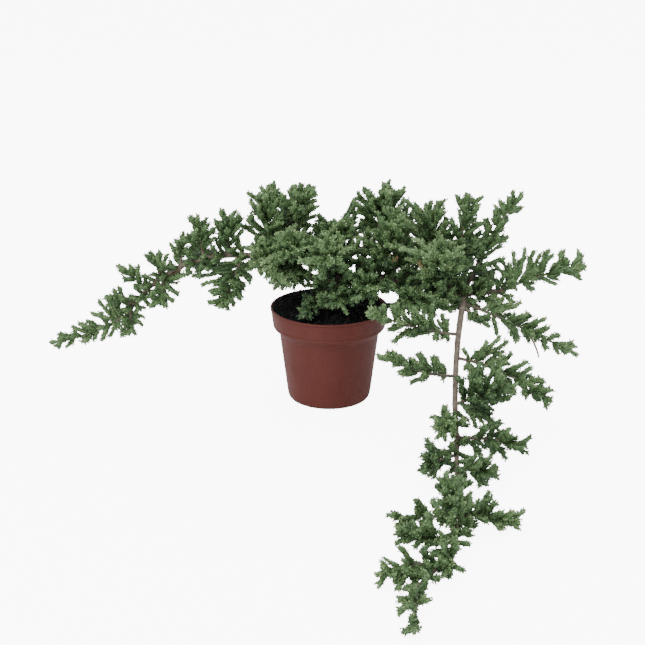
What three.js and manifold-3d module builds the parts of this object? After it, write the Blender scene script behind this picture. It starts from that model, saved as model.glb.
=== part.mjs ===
// Juniper bonsai of the creeping kind, in a round plastic nursery pot.
// Millimetres, +Z up. The front faces -Y, so +X is to the right when the plant is seen from the front.
// The origin is the middle of the flat underside of the pot.

import * as THREE from 'three';
import { mergeVertices } from 'three/addons/utils/BufferGeometryUtils.js';
import Module from 'manifold-3d';

const wasm = await Module();
wasm.setup();

// Clearances
const GAP = 0.3; // between any two solids
const GROUND_GAP = 1.0; // between the foliage and what the pot stands on

// Pot
const POT_HEIGHT = 86;
const POT_RIM_RADIUS = 52.5;
const POT_LIP_RADIUS = 50.2; // outside of the lip at its lower edge
const POT_LIP_HEIGHT = 17;
const POT_NECK_RADIUS = 44.6; // outside of the wall just under the lip
const POT_NECK_DROP = 6; // height of the slanted underside of the lip
const POT_BASE_RADIUS = 37.2;
const POT_BASE_ROUND = 5;
const POT_WALL = 1.5;
const POT_SIDES = 32;
const DRAIN_HOLES = 6;
const DRAIN_RADIUS = 4;
const DRAIN_CIRCLE = 20;

// Soil
const SOIL_HEIGHT = 83.5; // at the foot of the trunk
const SOIL_EDGE_DROP = 3.5; // lower at the wall than in the middle
const SOIL_MOUND = 3.2; // higher at the back left
const SOIL_LUMP = 0.9;
const SOIL_SEAT_RADIUS = 15; // flat round the foot of the trunk
const SOIL_SIDES = 24;

// Trunk
const TRUNK_FOOT = new THREE.Vector3(-2, 5, SOIL_HEIGHT + GAP); // middle of the level cut, on the soil
const TRUNK_RADIUS = 7.4;
const TRUNK_TIP_RADIUS = 4.4;
const TRUNK_SIDES = 14;
const TRUNK_RINGS = 10;
const FLARE_RADIUS = 7.5; // what the root flare adds at the start of the trunk's curve, under the cut
const FLARE_LOBES = 5;
const FLARE_LOBE_DEPTH = 0.3; // share of the flare
const FLARE_HEIGHT = 0.3; // share of the trunk's length over which the flare dies out

// Limbs
const LIMB_SIDES = 8;
const LIMB_STEP = 16; // length of one ring of faces
const FEWEST_RINGS = 3;
const BARK_RELIEF = 0.05; // share of the radius

// Foliage
const STEM_RADIUS = 1.5; // woody stem where it leaves its bough
const STEM_TIP_RADIUS = 1.1;
const STEM_SIDES = 4;
const STEM_STEP = 26;
const TIP_SHOOT = 18; // length of the shoot that ends a stem
const TIP_SHARE = 0.42; // and the most of the stem that it may be
const TIP_GIRTH = 0.9; // share of the girth of the mass's other shoots
const TIP_SINK = 0.3; // share of a ring's length by which the stem's wood runs on into the tip shoot
const BARE_FOOT = 0.14; // share of the stem below its first twig
const LAST_TWIG = 0.92;
const ROOT_SPREAD = 64; // angle between stem and twig at the stem's foot, in degrees
const TIP_SPREAD = 38;
const SPREAD_DRAW = 7; // either way
const ROOT_REACH = 1.1; // twig length at the stem's foot, as a share of the mass's twig length
const TIP_REACH = 0.6;
const REACH_DRAW = [0.85, 1.12];
const SHOOT_SIDES = 3;
const SHOOT_WOOD = 0.9; // radius where a shoot joins its stem
const WHORL_STEP = 9.5; // a shoot has one ring of teeth in each such length
const SHOOT_PIECES = 3; // straight pieces that stand for a shoot when its room is measured
const SHOOT_SIZES = [1, 0.66]; // a shoot with no room is tried again shorter
const SHOOT_TURNS = 6; // and at as many places round its stem
const SHORTEST_SHOOT = 7.5;
const SLIM_SHOOT = 0.6; // share of the girth of a shoot with no length
const FULL_SHOOT = 20; // length from which a shoot has its whole girth
const NEIGHBOUR_OVERLAP = 0.35; // share of its girth by which a shoot may grow into its neighbours
const SMOOTHING = 0.14; // slivers thinner than this are taken out of a fused mass
const WELDS = [1e-3, 1e-4]; // distances at which points may be taken as one without a mass coming open
const HAIR = 0.12; // most by which a shoot is shifted where a mass would come open
const MOST_TRIES = 12;
const GOLDEN_ANGLE = THREE.MathUtils.degToRad(137.5);

const COLOURS = {
  plastic: 0x7c4436,
  soil: 0x1e2020,
  bark: 0x77706a,
  deep: 0x2f4a30,
  middle: 0x46663f,
  bright: 0x64834c,
};

// Limbs are cubic curves: start, two handles, end; then the radius at either end. A limb that starts inside
// another is cut clear of it, and the trunk, which starts below the soil, is cut level on top of it.
const LIMBS = [
  ['trunk', [[-1, 6, 78.5], [-6, 1, 100], [8, 2, 112], [5, 0, 130]], TRUNK_RADIUS, TRUNK_TIP_RADIUS],
  ['left_bough', [[0, 3, 100], [-48, -2, 142], [-128, -14, 158], [-180, -10, 80]], 3.4, 1.7],
  ['right_bough', [[4, 2, 108], [45, -4, 128], [95, -22, 94], [150, -28, 110]], 4.0, 2.2],
  ['crown_left_bough', [[3, 2, 118], [-12, 2, 128], [-24, 4, 134], [-30, 4, 150]], 2.8, 1.9],
  ['crown_right_bough', [[5, 1, 124], [16, 2, 134], [34, 4, 136], [42, 4, 150]], 2.8, 1.9],
  ['back_bough', [[3, 3, 112], [4, 16, 124], [6, 26, 128], [8, 38, 132]], 2.6, 1.8],
  ['trailing_bough', [[117, -26, 104], [111, -62, 108], [99, -100, 62], [101, -150, 22]], 2.8, 2.1],
  ['trailing_bough_end', [[101, -150, 22], [91, -219, 1], [107, -271, 10], [56, -338, 7]], 2.1, 1.3],
];

// Foliage masses: the limb that carries each and the place along it; its stem's reach, heading (0 right, 90 to
// the back), rise and sag; the number of its twigs, with their length, lift and girth; and its tint.
const MASS_FIELDS = [
  'name', 'limb', 'at', 'reach', 'heading', 'rise', 'sag', 'twigs', 'twigLength', 'lift', 'girth', 'tint',
];
const MASSES = [
  ['left_tip', 'left_bough', 1.0, 78, 172, -22, -9, 15, 14, 0.35, 4.6, 'bright'],
  ['left_tip_upper', 'left_bough', 0.93, 26, -162, 21, 0, 7, 12, 0.4, 4.4, 'bright'],
  ['left_tip_lower', 'left_bough', 0.95, 24, -104, -60, 0, 6, 11, 0.0, 4.4, 'deep'],
  ['left_long_upper', 'left_bough', 0.84, 30, 169, 37, 2, 8, 12, 0.5, 4.8, 'middle'],
  ['left_mid_upper', 'left_bough', 0.76, 22, -149, 73, 2, 10, 15, 0.4, 4.8, 'middle'],
  ['left_mid_lower', 'left_bough', 0.74, 25, -101, -52, -3, 9, 14, 0.0, 4.6, 'deep'],
  ['left_tuft', 'left_bough', 0.66, 29, 72, 73, 2, 12, 14, 0.3, 4.8, 'middle'],
  ['left_crest', 'left_bough', 0.55, 34, -152, 78, 3, 16, 17, 0.3, 5.2, 'middle'],
  ['left_tall', 'left_bough', 0.45, 32, 48, 83, 2, 16, 18, 0.3, 5.2, 'deep'],
  ['left_loop', 'left_bough', 0.38, 51, -126, -47, -8, 18, 18, 0.1, 5.2, 'deep'],
  ['left_behind', 'left_bough', 0.56, 49, 98, -16, 4, 14, 22, 0.3, 6, 'deep'],
  ['crown_left_top', 'crown_left_bough', 1.0, 46, 0, 82, 2, 30, 28, 0.25, 6.2, 'middle'],
  ['crown_left_outer', 'left_bough', 0.26, 56, 112, 78, 3, 24, 26, 0.25, 6.2, 'middle'],
  ['crown_left_front', 'left_bough', 0.22, 45, -102, 17, 4, 19, 26, 0.3, 7, 'middle'],
  ['crown_left_low', 'left_bough', 0.12, 61, -97, 35, 6, 22, 27, 0.3, 7, 'bright'],
  ['crown_centre', 'trunk', 1.0, 32, 93, 86, 2, 24, 26, 0.3, 6.0, 'middle'],
  ['crown_front', 'trunk', 0.75, 71, -95, 27, 8, 24, 28, 0.3, 7, 'bright'],
  ['crown_front_low', 'trunk', 0.55, 48, -83, 0, 6, 19, 22, 0.2, 6, 'middle'],
  ['crown_droop', 'trunk', 0.42, 53, -115, -9, 6, 8, 13, 0.1, 4.6, 'deep'],
  ['crown_right_front', 'right_bough', 0.2, 44, -100, 2, 6, 19, 22, 0.2, 6, 'middle'],
  ['crown_right_top', 'crown_right_bough', 1.0, 44, -21, 83, 2, 30, 28, 0.25, 6.2, 'middle'],
  ['crown_right_mid', 'right_bough', 0.34, 67, -101, 64, 5, 26, 27, 0.3, 6.5, 'middle'],
  ['crown_right_outer', 'right_bough', 0.52, 67, 33, 81, 4, 22, 26, 0.3, 7, 'middle'],
  ['crown_back_left', 'left_bough', 0.12, 69, 103, 34, 6, 22, 28, 0.3, 7, 'deep'],
  ['crown_back', 'back_bough', 1.0, 36, 76, 36, 4, 19, 28, 0.3, 7, 'deep'],
  ['crown_back_right', 'right_bough', 0.3, 71, 71, 33, 6, 22, 28, 0.3, 7, 'deep'],
  ['right_fan', 'right_bough', 0.42, 38, -97, -4, 5, 19, 24, 0.1, 6, 'deep'],
  ['right_fan_outer', 'right_bough', 0.56, 45, -89, -4, 5, 19, 22, 0.1, 6, 'deep'],
  ['right_front', 'right_bough', 0.62, 64, -97, 42, 6, 22, 28, 0.3, 7, 'middle'],
  ['right_upper', 'right_bough', 0.67, 82, 15, 78, 4, 20, 26, 0.3, 6, 'middle'],
  ['right_upper_outer', 'right_bough', 0.77, 95, 14, 60, 22, 21, 20, 0.25, 5.2, 'middle'],
  ['right_far', 'right_bough', 1.0, 79, 16, 11, 6, 18, 22, 0.35, 5.4, 'bright'],
  ['right_behind', 'right_bough', 0.7, 75, 60, 20, 6, 19, 27, 0.3, 6.5, 'deep'],
  ['right_lower', 'trailing_bough', 0.1, 110, -2, -25, 3, 14, 18, 0.2, 4.6, 'bright'],
  ['right_small', 'trailing_bough', 0.14, 25, -42, -23, 0, 8, 12, 0.0, 4.4, 'deep'],
  ['trail_left_upper', 'trailing_bough', 0.35, 90, -154, 21, -6, 18, 16, 0.45, 5, 'middle'],
  ['trail_right_upper', 'trailing_bough', 0.5, 84, -15, -21, 12, 20, 19, 0.2, 5.2, 'middle'],
  ['trail_left_mid', 'trailing_bough', 0.61, 70, -159, 22, -8, 14, 16, 0.35, 5, 'middle'],
  ['trail_right_bushy', 'trailing_bough', 0.78, 43, -25, 32, 0, 24, 24, 0.3, 5.5, 'deep'],
  ['trail_ball', 'trailing_bough', 0.88, 32, -116, 15, 3, 16, 14, 0.3, 4.6, 'bright'],
  ['trail_right_mid', 'trailing_bough', 0.97, 56, -25, 4, 4, 14, 19, 0.4, 5.5, 'deep'],
  ['trail_left_small', 'trailing_bough_end', 0.06, 34, -143, 1, 0, 13, 17, 0.4, 5.0, 'deep'],
  ['trail_right_small', 'trailing_bough_end', 0.14, 26, -12, -6, 0, 12, 17, 0.3, 5.0, 'deep'],
  ['trail_front', 'trailing_bough_end', 0.6, 43, -157, 76, 0, 18, 17, 0.3, 5.0, 'middle'],
  ['trail_right_low', 'trailing_bough_end', 0.47, 42, -18, 3, 3, 13, 17, 0.25, 5.0, 'middle'],
  ['trail_left_low', 'trailing_bough_end', 0.49, 48, -171, 4, 3, 14, 18, 0.2, 5.5, 'middle'],
  ['trail_left_end', 'trailing_bough_end', 0.66, 40, 180, 6, 2, 11, 16, 0.2, 5.2, 'middle'],
  ['leader', 'trailing_bough_end', 1.0, 55, -96, 1, 5, 13, 14, 0.15, 5.0, 'bright'],
  ['leader_left', 'trailing_bough_end', 0.82, 46, -156, 3, 3, 13, 17, 0.05, 5.2, 'bright'],
  ['leader_right', 'trailing_bough_end', 0.7, 38, -100, 7, 1, 10, 15, 0.3, 5.2, 'middle'],
];

// Numbers that look random and are the same each time: a linear congruential generator.
function seeded(seed) {
  let state = (seed * 2654435761) >>> 0;
  return (low = 0, high = 1) => {
    state = (Math.imul(state, 1664525) + 1013904223) >>> 0;
    return low + ((high - low) * state) / 4294967296;
  };
}

// Solids: a geometry with its shared points merged, turned into a solid for joining and cutting, and back.
function toSolid(geometry) {
  const bare = geometry.clone();
  bare.deleteAttribute('normal');
  bare.deleteAttribute('uv');
  const merged = mergeVertices(bare, 1e-4);
  const vertProperties = new Float32Array(merged.attributes.position.array);
  const triVerts = new Uint32Array(merged.index.array);
  return new wasm.Manifold(new wasm.Mesh({ numProp: 3, vertProperties, triVerts }));
}

function toGeometry(solid) {
  const mesh = solid.getMesh();
  const geometry = new THREE.BufferGeometry();
  geometry.setAttribute('position', new THREE.BufferAttribute(mesh.vertProperties, 3));
  geometry.setIndex(new THREE.BufferAttribute(mesh.triVerts, 1));
  geometry.computeVertexNormals();
  return geometry;
}

// The largest of a solid's loose parts. The inner wall of a sealed hollow counts as one, and so is dropped.
function largestPart(solid) {
  const parts = solid.decompose();
  return parts.reduce((best, part) => (part.volume() > best.volume() ? part : best));
}

// Carries a cylinder or cone of height 1 that stands along its Y axis onto a curve. shape(s, angle) gives the
// radius at share s of the way along it, and twist(row) turns each ring of points.
function alongCurve(geometry, curve, from, to, shape, twist = () => 0) {
  const position = geometry.attributes.position;
  const rows = geometry.parameters.heightSegments;
  const reference = frameAxis(curve);
  for (let i = 0; i < position.count; i += 1) {
    const s = position.getY(i) + 0.5;
    const row = Math.round((1 - s) * rows);
    const centre = Math.hypot(position.getX(i), position.getZ(i)) < 1e-6;
    const angle = Math.atan2(position.getZ(i), position.getX(i)) + twist(row);
    const t = from + (to - from) * s;
    const along = curve.getTangentAt(THREE.MathUtils.clamp(t, 0, 1));
    const side = new THREE.Vector3().crossVectors(along, reference).normalize();
    const across = new THREE.Vector3().crossVectors(side, along);
    const radius = centre ? 0 : shape(s, angle);
    const point = pointAlong(curve, t);
    point.addScaledVector(side, radius * Math.cos(angle));
    point.addScaledVector(across, radius * Math.sin(angle));
    position.setXYZ(i, point.x, point.y, point.z);
  }
  return geometry;
}

// Point at a share of a curve's length. The curve runs straight on past either end.
function pointAlong(curve, t) {
  const inside = THREE.MathUtils.clamp(t, 0, 1);
  const past = (t - inside) * curve.getLength();
  return curve.getPointAt(inside).addScaledVector(curve.getTangentAt(inside), past);
}

// The axis that a curve's direction is least close to, so that its rings keep one way up.
function frameAxis(curve) {
  const whole = curve.getPoint(1).clone().sub(curve.getPoint(0)).normalize();
  const sizes = [Math.abs(whole.x), Math.abs(whole.y), Math.abs(whole.z)];
  const least = sizes.indexOf(Math.min(...sizes));
  return new THREE.Vector3(least === 0 ? 1 : 0, least === 1 ? 1 : 0, least === 2 ? 1 : 0);
}

// Obstacles: a tapering limb or shoot is a chain of short straight pieces, each with a radius at either end.
function chainOf(curve, from, to, radiusAt, pieces) {
  const chain = [];
  for (let i = 0; i < pieces; i += 1) {
    const a = i / pieces;
    const b = (i + 1) / pieces;
    const start = curve.getPointAt(from + (to - from) * a);
    const end = curve.getPointAt(from + (to - from) * b);
    chain.push({ start, end, startRadius: radiusAt(a), endRadius: radiusAt(b) });
  }
  return chain;
}

// Space left between a point and the nearest piece of a chain.
function roomAt(point, chain) {
  let room = Infinity;
  const closest = new THREE.Vector3();
  for (const piece of chain) {
    const line = new THREE.Line3(piece.start, piece.end);
    const t = line.closestPointToPointParameter(point, true);
    line.at(t, closest);
    const radius = piece.startRadius + (piece.endRadius - piece.startRadius) * t;
    room = Math.min(room, closest.distanceTo(point) - radius);
  }
  return room;
}

// Space left between two chains, from the nearest points of each pair of straight pieces.
function roomBetween(chain, others) {
  let room = Infinity;
  for (const a of chain) {
    for (const b of others) {
      room = Math.min(room, roomOfPair(a, b));
    }
  }
  return room;
}

function roomOfPair(a, b) {
  const reachA = a.start.distanceTo(a.end) / 2 + Math.max(a.startRadius, a.endRadius);
  const reachB = b.start.distanceTo(b.end) / 2 + Math.max(b.startRadius, b.endRadius);
  const middleA = new THREE.Vector3().lerpVectors(a.start, a.end, 0.5);
  const middleB = new THREE.Vector3().lerpVectors(b.start, b.end, 0.5);
  const apart = middleA.distanceTo(middleB) - reachA - reachB;
  if (apart > GAP) {
    return apart;
  }
  const along = new THREE.Vector3().subVectors(a.end, a.start);
  const across = new THREE.Vector3().subVectors(b.end, b.start);
  const between = new THREE.Vector3().subVectors(a.start, b.start);
  const aa = along.dot(along);
  const bb = across.dot(across);
  const ab = along.dot(across);
  const af = along.dot(between);
  const bf = across.dot(between);
  const crossing = aa * bb - ab * ab;
  let s = crossing > 1e-9 ? THREE.MathUtils.clamp((ab * bf - af * bb) / crossing, 0, 1) : 0;
  const t = THREE.MathUtils.clamp((ab * s + bf) / bb, 0, 1);
  s = THREE.MathUtils.clamp((ab * t - af) / aa, 0, 1);
  const onA = new THREE.Vector3().lerpVectors(a.start, a.end, s);
  const onB = new THREE.Vector3().lerpVectors(b.start, b.end, t);
  const radiusA = a.startRadius + (a.endRadius - a.startRadius) * s;
  const radiusB = b.startRadius + (b.endRadius - b.startRadius) * t;
  return onA.distanceTo(onB) - radiusA - radiusB;
}

// Share of a curve at which a round end of the given radius first stands clear of the obstacles.
function clearStart(curve, radius, obstacles) {
  const length = curve.getLength();
  const step = 0.05 / length;
  const spokes = 8;
  for (let t = 0; t < 0.6; t += step) {
    const along = curve.getTangentAt(t);
    const side = new THREE.Vector3().crossVectors(along, frameAxis(curve)).normalize();
    const across = new THREE.Vector3().crossVectors(along, side);
    const centre = curve.getPointAt(t);
    let room = roomAt(centre, obstacles);
    for (let i = 0; i < spokes; i += 1) {
      const angle = (2 * Math.PI * i) / spokes;
      const point = centre.clone();
      point.addScaledVector(side, radius * Math.cos(angle));
      point.addScaledVector(across, radius * Math.sin(angle));
      room = Math.min(room, roomAt(point, obstacles));
    }
    if (room >= GAP) {
      return t;
    }
  }
  throw new Error('a limb never gets clear of the one that carries it');
}

// Room above the ground and outside the pot and its soil, for one end of a shoot.
function roomRoundPot(point, radius) {
  if (point.z - radius < GROUND_GAP) {
    return -1;
  }
  const out = Math.hypot(point.x, point.y);
  const aboveRim = point.z - POT_HEIGHT - radius;
  const aboveSoil = point.z - SOIL_HEIGHT - SOIL_MOUND - radius;
  const beside = out - POT_RIM_RADIUS - radius;
  const overSoil = out + radius < POT_RIM_RADIUS - 6 ? aboveSoil : aboveRim;
  return Math.max(overSoil, beside);
}

// Pot: a thin turned cup with a deep lip, and round drain holes off the middle of its base.
function potGeometry() {
  const lipBottom = POT_HEIGHT - POT_LIP_HEIGHT;
  const neck = lipBottom - POT_NECK_DROP;
  const outline = [new THREE.Vector2(0, 0)];
  const foot = new THREE.Vector2(POT_BASE_RADIUS - POT_BASE_ROUND, POT_BASE_ROUND);
  for (let i = 0; i <= 3; i += 1) {
    const angle = (Math.PI / 2) * (i / 3);
    const x = foot.x + POT_BASE_ROUND * Math.sin(angle);
    outline.push(new THREE.Vector2(x, foot.y - POT_BASE_ROUND * Math.cos(angle)));
  }
  outline.push(new THREE.Vector2(POT_NECK_RADIUS, neck));
  outline.push(new THREE.Vector2(POT_LIP_RADIUS - 0.6, lipBottom - 1));
  outline.push(new THREE.Vector2(POT_LIP_RADIUS, lipBottom));
  outline.push(new THREE.Vector2(POT_RIM_RADIUS - 0.4, POT_HEIGHT - 1.6));
  outline.push(new THREE.Vector2(POT_RIM_RADIUS, POT_HEIGHT - 0.9));
  outline.push(new THREE.Vector2(POT_RIM_RADIUS - 0.6, POT_HEIGHT));
  outline.push(new THREE.Vector2(POT_RIM_RADIUS - POT_WALL, POT_HEIGHT - 0.2));
  outline.push(new THREE.Vector2(POT_LIP_RADIUS - POT_WALL, lipBottom));
  outline.push(new THREE.Vector2(POT_NECK_RADIUS - POT_WALL, neck));
  outline.push(new THREE.Vector2(insideRadius(POT_WALL), POT_WALL));
  outline.push(new THREE.Vector2(0, POT_WALL));
  // LatheGeometry turns about Y with its faces out when the outline runs up the outside
  const cup = new THREE.LatheGeometry(outline, POT_SIDES).rotateX(Math.PI / 2);
  let solid = toSolid(cup);
  for (let i = 0; i < DRAIN_HOLES; i += 1) {
    const angle = (2 * Math.PI * (i + 0.5)) / DRAIN_HOLES;
    const drill = new THREE.CylinderGeometry(DRAIN_RADIUS, DRAIN_RADIUS, 3 * POT_WALL, 10);
    drill.rotateX(Math.PI / 2);
    drill.translate(DRAIN_CIRCLE * Math.cos(angle), DRAIN_CIRCLE * Math.sin(angle), POT_WALL / 2);
    solid = solid.subtract(toSolid(drill));
  }
  return toGeometry(solid);
}

// Inside radius of the pot's lower wall at a height.
function insideRadius(z) {
  const neck = POT_HEIGHT - POT_LIP_HEIGHT - POT_NECK_DROP;
  const share = z / neck;
  return POT_BASE_RADIUS + (POT_NECK_RADIUS - POT_BASE_RADIUS) * share - POT_WALL;
}

// Height of the soil at a place: low at the wall, heaped at the back left, lumpy, flat at the trunk's foot.
function soilHeight(x, y, radius) {
  const out = Math.hypot(x, y) / radius;
  const fromTrunk = Math.hypot(x - TRUNK_FOOT.x, y - TRUNK_FOOT.y);
  const loose = THREE.MathUtils.smoothstep(fromTrunk, SOIL_SEAT_RADIUS, SOIL_SEAT_RADIUS + 8);
  const heap = Math.max(0, (-x + y) / (1.4 * radius)) * SOIL_MOUND * (1 - out ** 4);
  const lumps = Math.sin(0.43 * x + 1.7) * Math.cos(0.37 * y) + Math.sin(0.81 * y + 0.6 * x);
  return SOIL_HEIGHT + loose * (heap - SOIL_EDGE_DROP * out ** 2 + SOIL_LUMP * lumps * 0.5);
}

// Soil: fills the pot, with a turned side that follows the pot's inside and a worked top.
function soilGeometry() {
  const neck = POT_HEIGHT - POT_LIP_HEIGHT - POT_NECK_DROP;
  const lip = POT_HEIGHT - POT_LIP_HEIGHT;
  const wall = POT_WALL + 2 * GAP;
  const topRadius = POT_LIP_RADIUS + (POT_RIM_RADIUS - POT_LIP_RADIUS) * 0.6 - wall;
  const floor = POT_WALL + GAP;
  const outline = [new THREE.Vector2(0, floor)];
  outline.push(new THREE.Vector2(insideRadius(floor) - 2 * GAP, floor));
  outline.push(new THREE.Vector2(POT_NECK_RADIUS - wall, neck));
  outline.push(new THREE.Vector2(POT_LIP_RADIUS - wall, lip + GAP));
  const rings = 6;
  for (let i = 0; i < rings; i += 1) {
    outline.push(new THREE.Vector2(topRadius * (1 - i / rings), SOIL_HEIGHT));
  }
  outline.push(new THREE.Vector2(0, SOIL_HEIGHT));
  const geometry = new THREE.LatheGeometry(outline, SOIL_SIDES).rotateX(Math.PI / 2);
  const position = geometry.attributes.position;
  for (let i = 0; i < position.count; i += 1) {
    if (position.getZ(i) > lip + 1) {
      const x = position.getX(i);
      const y = position.getY(i);
      position.setZ(i, soilHeight(x, y, topRadius));
    }
  }
  return toGeometry(toSolid(geometry));
}

// Limb: a tapering round of wood along its curve, with low ridges of bark and a root flare on the trunk. Its
// sleeve is the same shape with the clearance added, for the foot of what grows on it to be cut to.
function growLimb([name, path, rootRadius, tipRadius], carriers) {
  const curve = new THREE.CubicBezierCurve3(...path.map((point) => new THREE.Vector3(...point)));
  const isTrunk = name === 'trunk';
  const from = isTrunk ? 0 : clearStart(curve, rootRadius, carriers.flatMap((carrier) => carrier.chain));
  const length = curve.getLength() * (1 - from);
  const rings = Math.max(FEWEST_RINGS, Math.round(length / LIMB_STEP));
  const flareAt = (s) => (isTrunk ? FLARE_RADIUS * Math.max(0, 1 - s / FLARE_HEIGHT) : 0);
  const outermost = (s) => {
    const taper = rootRadius + (tipRadius - rootRadius) * s;
    return taper + flareAt(s) * Math.max(0, 1 - s / FLARE_HEIGHT);
  };
  const shape = (s, angle) => {
    const ridges = BARK_RELIEF * (Math.sin(3 * angle + 9 * s) - 1);
    const lobes = FLARE_LOBE_DEPTH * flareAt(s) * (Math.cos(FLARE_LOBES * angle) - 1);
    return outermost(s) * (1 + ridges) + lobes;
  };
  const sides = isTrunk ? TRUNK_SIDES : LIMB_SIDES;
  const tube = () => new THREE.CylinderGeometry(1, 1, 1, sides, isTrunk ? TRUNK_RINGS : rings);
  const wood = toSolid(alongCurve(tube(), curve, 0, 1, shape));
  const past = GAP / curve.getLength();
  const sleeve = toSolid(alongCurve(tube(), curve, 0, 1 + past, (s, angle) => shape(s, angle) + GAP));
  const seated = isTrunk ? wood.trimByPlane([0, 0, 1], TRUNK_FOOT.z) : cutClear(wood, carriers);
  const chain = chainOf(curve, from, 1, outermost, 2 * rings);
  return { name, curve, from, chain, sleeve, geometry: toGeometry(seated) };
}

// What is left of a piece of wood outside the sleeves of the limbs that carry it.
function cutClear(wood, carriers) {
  return largestPart(carriers.reduce((rest, carrier) => rest.subtract(carrier.sleeve), wood));
}

// Curve of a mass's stem: from its bough towards its tip, sagging or arching on the way.
function stemCurve(plan, limb) {
  const turn = THREE.MathUtils.degToRad(plan.heading);
  const climb = THREE.MathUtils.degToRad(plan.rise);
  const aim = new THREE.Vector3(Math.cos(turn), Math.sin(turn), Math.tan(climb)).normalize();
  const root = limb.curve.getPointAt(limb.from + (1 - limb.from) * plan.at);
  const tip = root.clone().addScaledVector(aim, plan.reach);
  const middle = root.clone().addScaledVector(aim, plan.reach / 2);
  middle.z += plan.sag;
  return new THREE.QuadraticBezierCurve3(root, middle, tip);
}

// Starts a mass with the wood of its stem and the shoot that ends it. Its chain is the room that it takes up,
// and its shoots are what a new twig may not grow into.
function layStem(plan, limb) {
  const curve = stemCurve(plan, limb);
  const from = clearStart(curve, STEM_RADIUS, limb.chain);
  const length = curve.getLength();
  const tipFrom = 1 - Math.min(TIP_SHOOT / length, TIP_SHARE);
  const tipGirth = TIP_GIRTH * plan.girth;
  const woodRadius = (s) => STEM_RADIUS + (STEM_TIP_RADIUS - STEM_RADIUS) * s;
  const wood = chainOf(curve, from, tipFrom, woodRadius, 2 * SHOOT_PIECES);
  const tip = chainOf(curve, tipFrom, 1, (s) => shootRadius(s, tipGirth), SHOOT_PIECES);
  const woodEnd = tipFrom + (TIP_SINK * WHORL_STEP) / length;
  const rings = Math.max(1, Math.round((length * (woodEnd - from)) / STEM_STEP));
  const stem = new THREE.CylinderGeometry(1, 1, 1, STEM_SIDES, rings);
  const solids = [
    cutClear(toSolid(alongCurve(stem, curve, 0, woodEnd, woodRadius)), [limb]),
    shootSolid(curve, tipFrom, tipGirth),
  ];
  return { plan, curve, from, chain: [...wood, ...tip], shoots: tip.slice(1), solids };
}

// Shoot: a slim core of few sides whose corners stand out as teeth, ring by ring, like whorls of needles.
function shootSolid(curve, from, radius) {
  const length = curve.getLength() * (1 - from);
  const rings = Math.max(FEWEST_RINGS, Math.round(length / WHORL_STEP));
  const cone = new THREE.ConeGeometry(1, 1, SHOOT_SIDES, rings);
  const shape = (s) => (s === 0 ? SHOOT_WOOD : shootRadius(s, radius));
  const halfTurn = Math.PI / SHOOT_SIDES; // each ring's corners stand over the last one's gaps
  return toSolid(alongCurve(cone, curve, from, 1, shape, (row) => -row * halfTurn));
}

// Reach of the needles at share s of a shoot: slim at the root, widest past the middle, round at the tip.
function shootRadius(s, radius) {
  return radius * Math.min(1, 0.45 + 1.6 * s) * Math.min(1, 0.3 + 2.4 * (1 - s));
}

// A shoot's own curve: it leaves its stem at an angle and bends upwards as it grows.
function shootCurve(root, aim, length, lift) {
  const tip = root.clone().addScaledVector(aim, length);
  const middle = root.clone().addScaledVector(aim, length * 0.55);
  middle.z -= length * lift * 0.12;
  tip.z += length * lift * 0.2;
  return new THREE.QuadraticBezierCurve3(root, middle, tip);
}

// Adds a shoot to a mass if it stays off the ground, the pot, every limb, every other mass and its neighbours.
function tryShoot(mass, curve, radius, others) {
  const chain = chainOf(curve, 0, 1, (s) => shootRadius(s, radius), SHOOT_PIECES);
  const free = chain.slice(1);
  const low = chain.some((piece) => roomRoundPot(piece.end, piece.endRadius) < GAP);
  const crowded = roomBetween(free, mass.shoots) < -NEIGHBOUR_OVERLAP * radius;
  if (low || crowded || others.some((other) => roomBetween(chain, other.chain) < GAP)) {
    return false;
  }
  mass.chain.push(...chain);
  mass.shoots.push(...free);
  mass.solids.push(shootSolid(curve, 0, radius));
  return true;
}

// Twigs spiral up the stem past its bare foot, the longest and widest spread low down.
function growMass(mass, seed, others) {
  const { twigs, twigLength } = mass.plan;
  const draw = seeded(seed);
  const firstTwig = mass.from + BARE_FOOT;
  let turn = draw(0, 2 * Math.PI);
  for (let i = 0; i < twigs; i += 1) {
    const share = (i + 0.5) / twigs;
    const t = firstTwig + (LAST_TWIG - firstTwig) * share;
    const spread = ROOT_SPREAD + (TIP_SPREAD - ROOT_SPREAD) * share + draw(-SPREAD_DRAW, SPREAD_DRAW);
    const length = twigLength * (ROOT_REACH + (TIP_REACH - ROOT_REACH) * share) * draw(...REACH_DRAW);
    turn = growTwig(mass, t, turn, THREE.MathUtils.degToRad(spread), length, others);
  }
}

// Tries a twig at full length and then shorter, at several turns round the stem. Returns the next twig's turn.
function growTwig(mass, t, firstTurn, spread, fullLength, others) {
  const { lift, girth } = mass.plan;
  const root = mass.curve.getPointAt(t);
  let turn = firstTurn;
  for (const size of SHOOT_SIZES) {
    const length = fullLength * size;
    const radius = girth * Math.min(1, SLIM_SHOOT + (1 - SLIM_SHOOT) * (length / FULL_SHOOT));
    for (let i = 0; i < SHOOT_TURNS && length >= SHORTEST_SHOOT; i += 1) {
      const aim = twigAim(mass.curve, t, turn, spread, lift);
      const curve = shootCurve(root, aim, length, lift);
      turn += GOLDEN_ANGLE;
      if (tryShoot(mass, curve, radius, others)) {
        return turn;
      }
    }
  }
  return turn;
}

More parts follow.
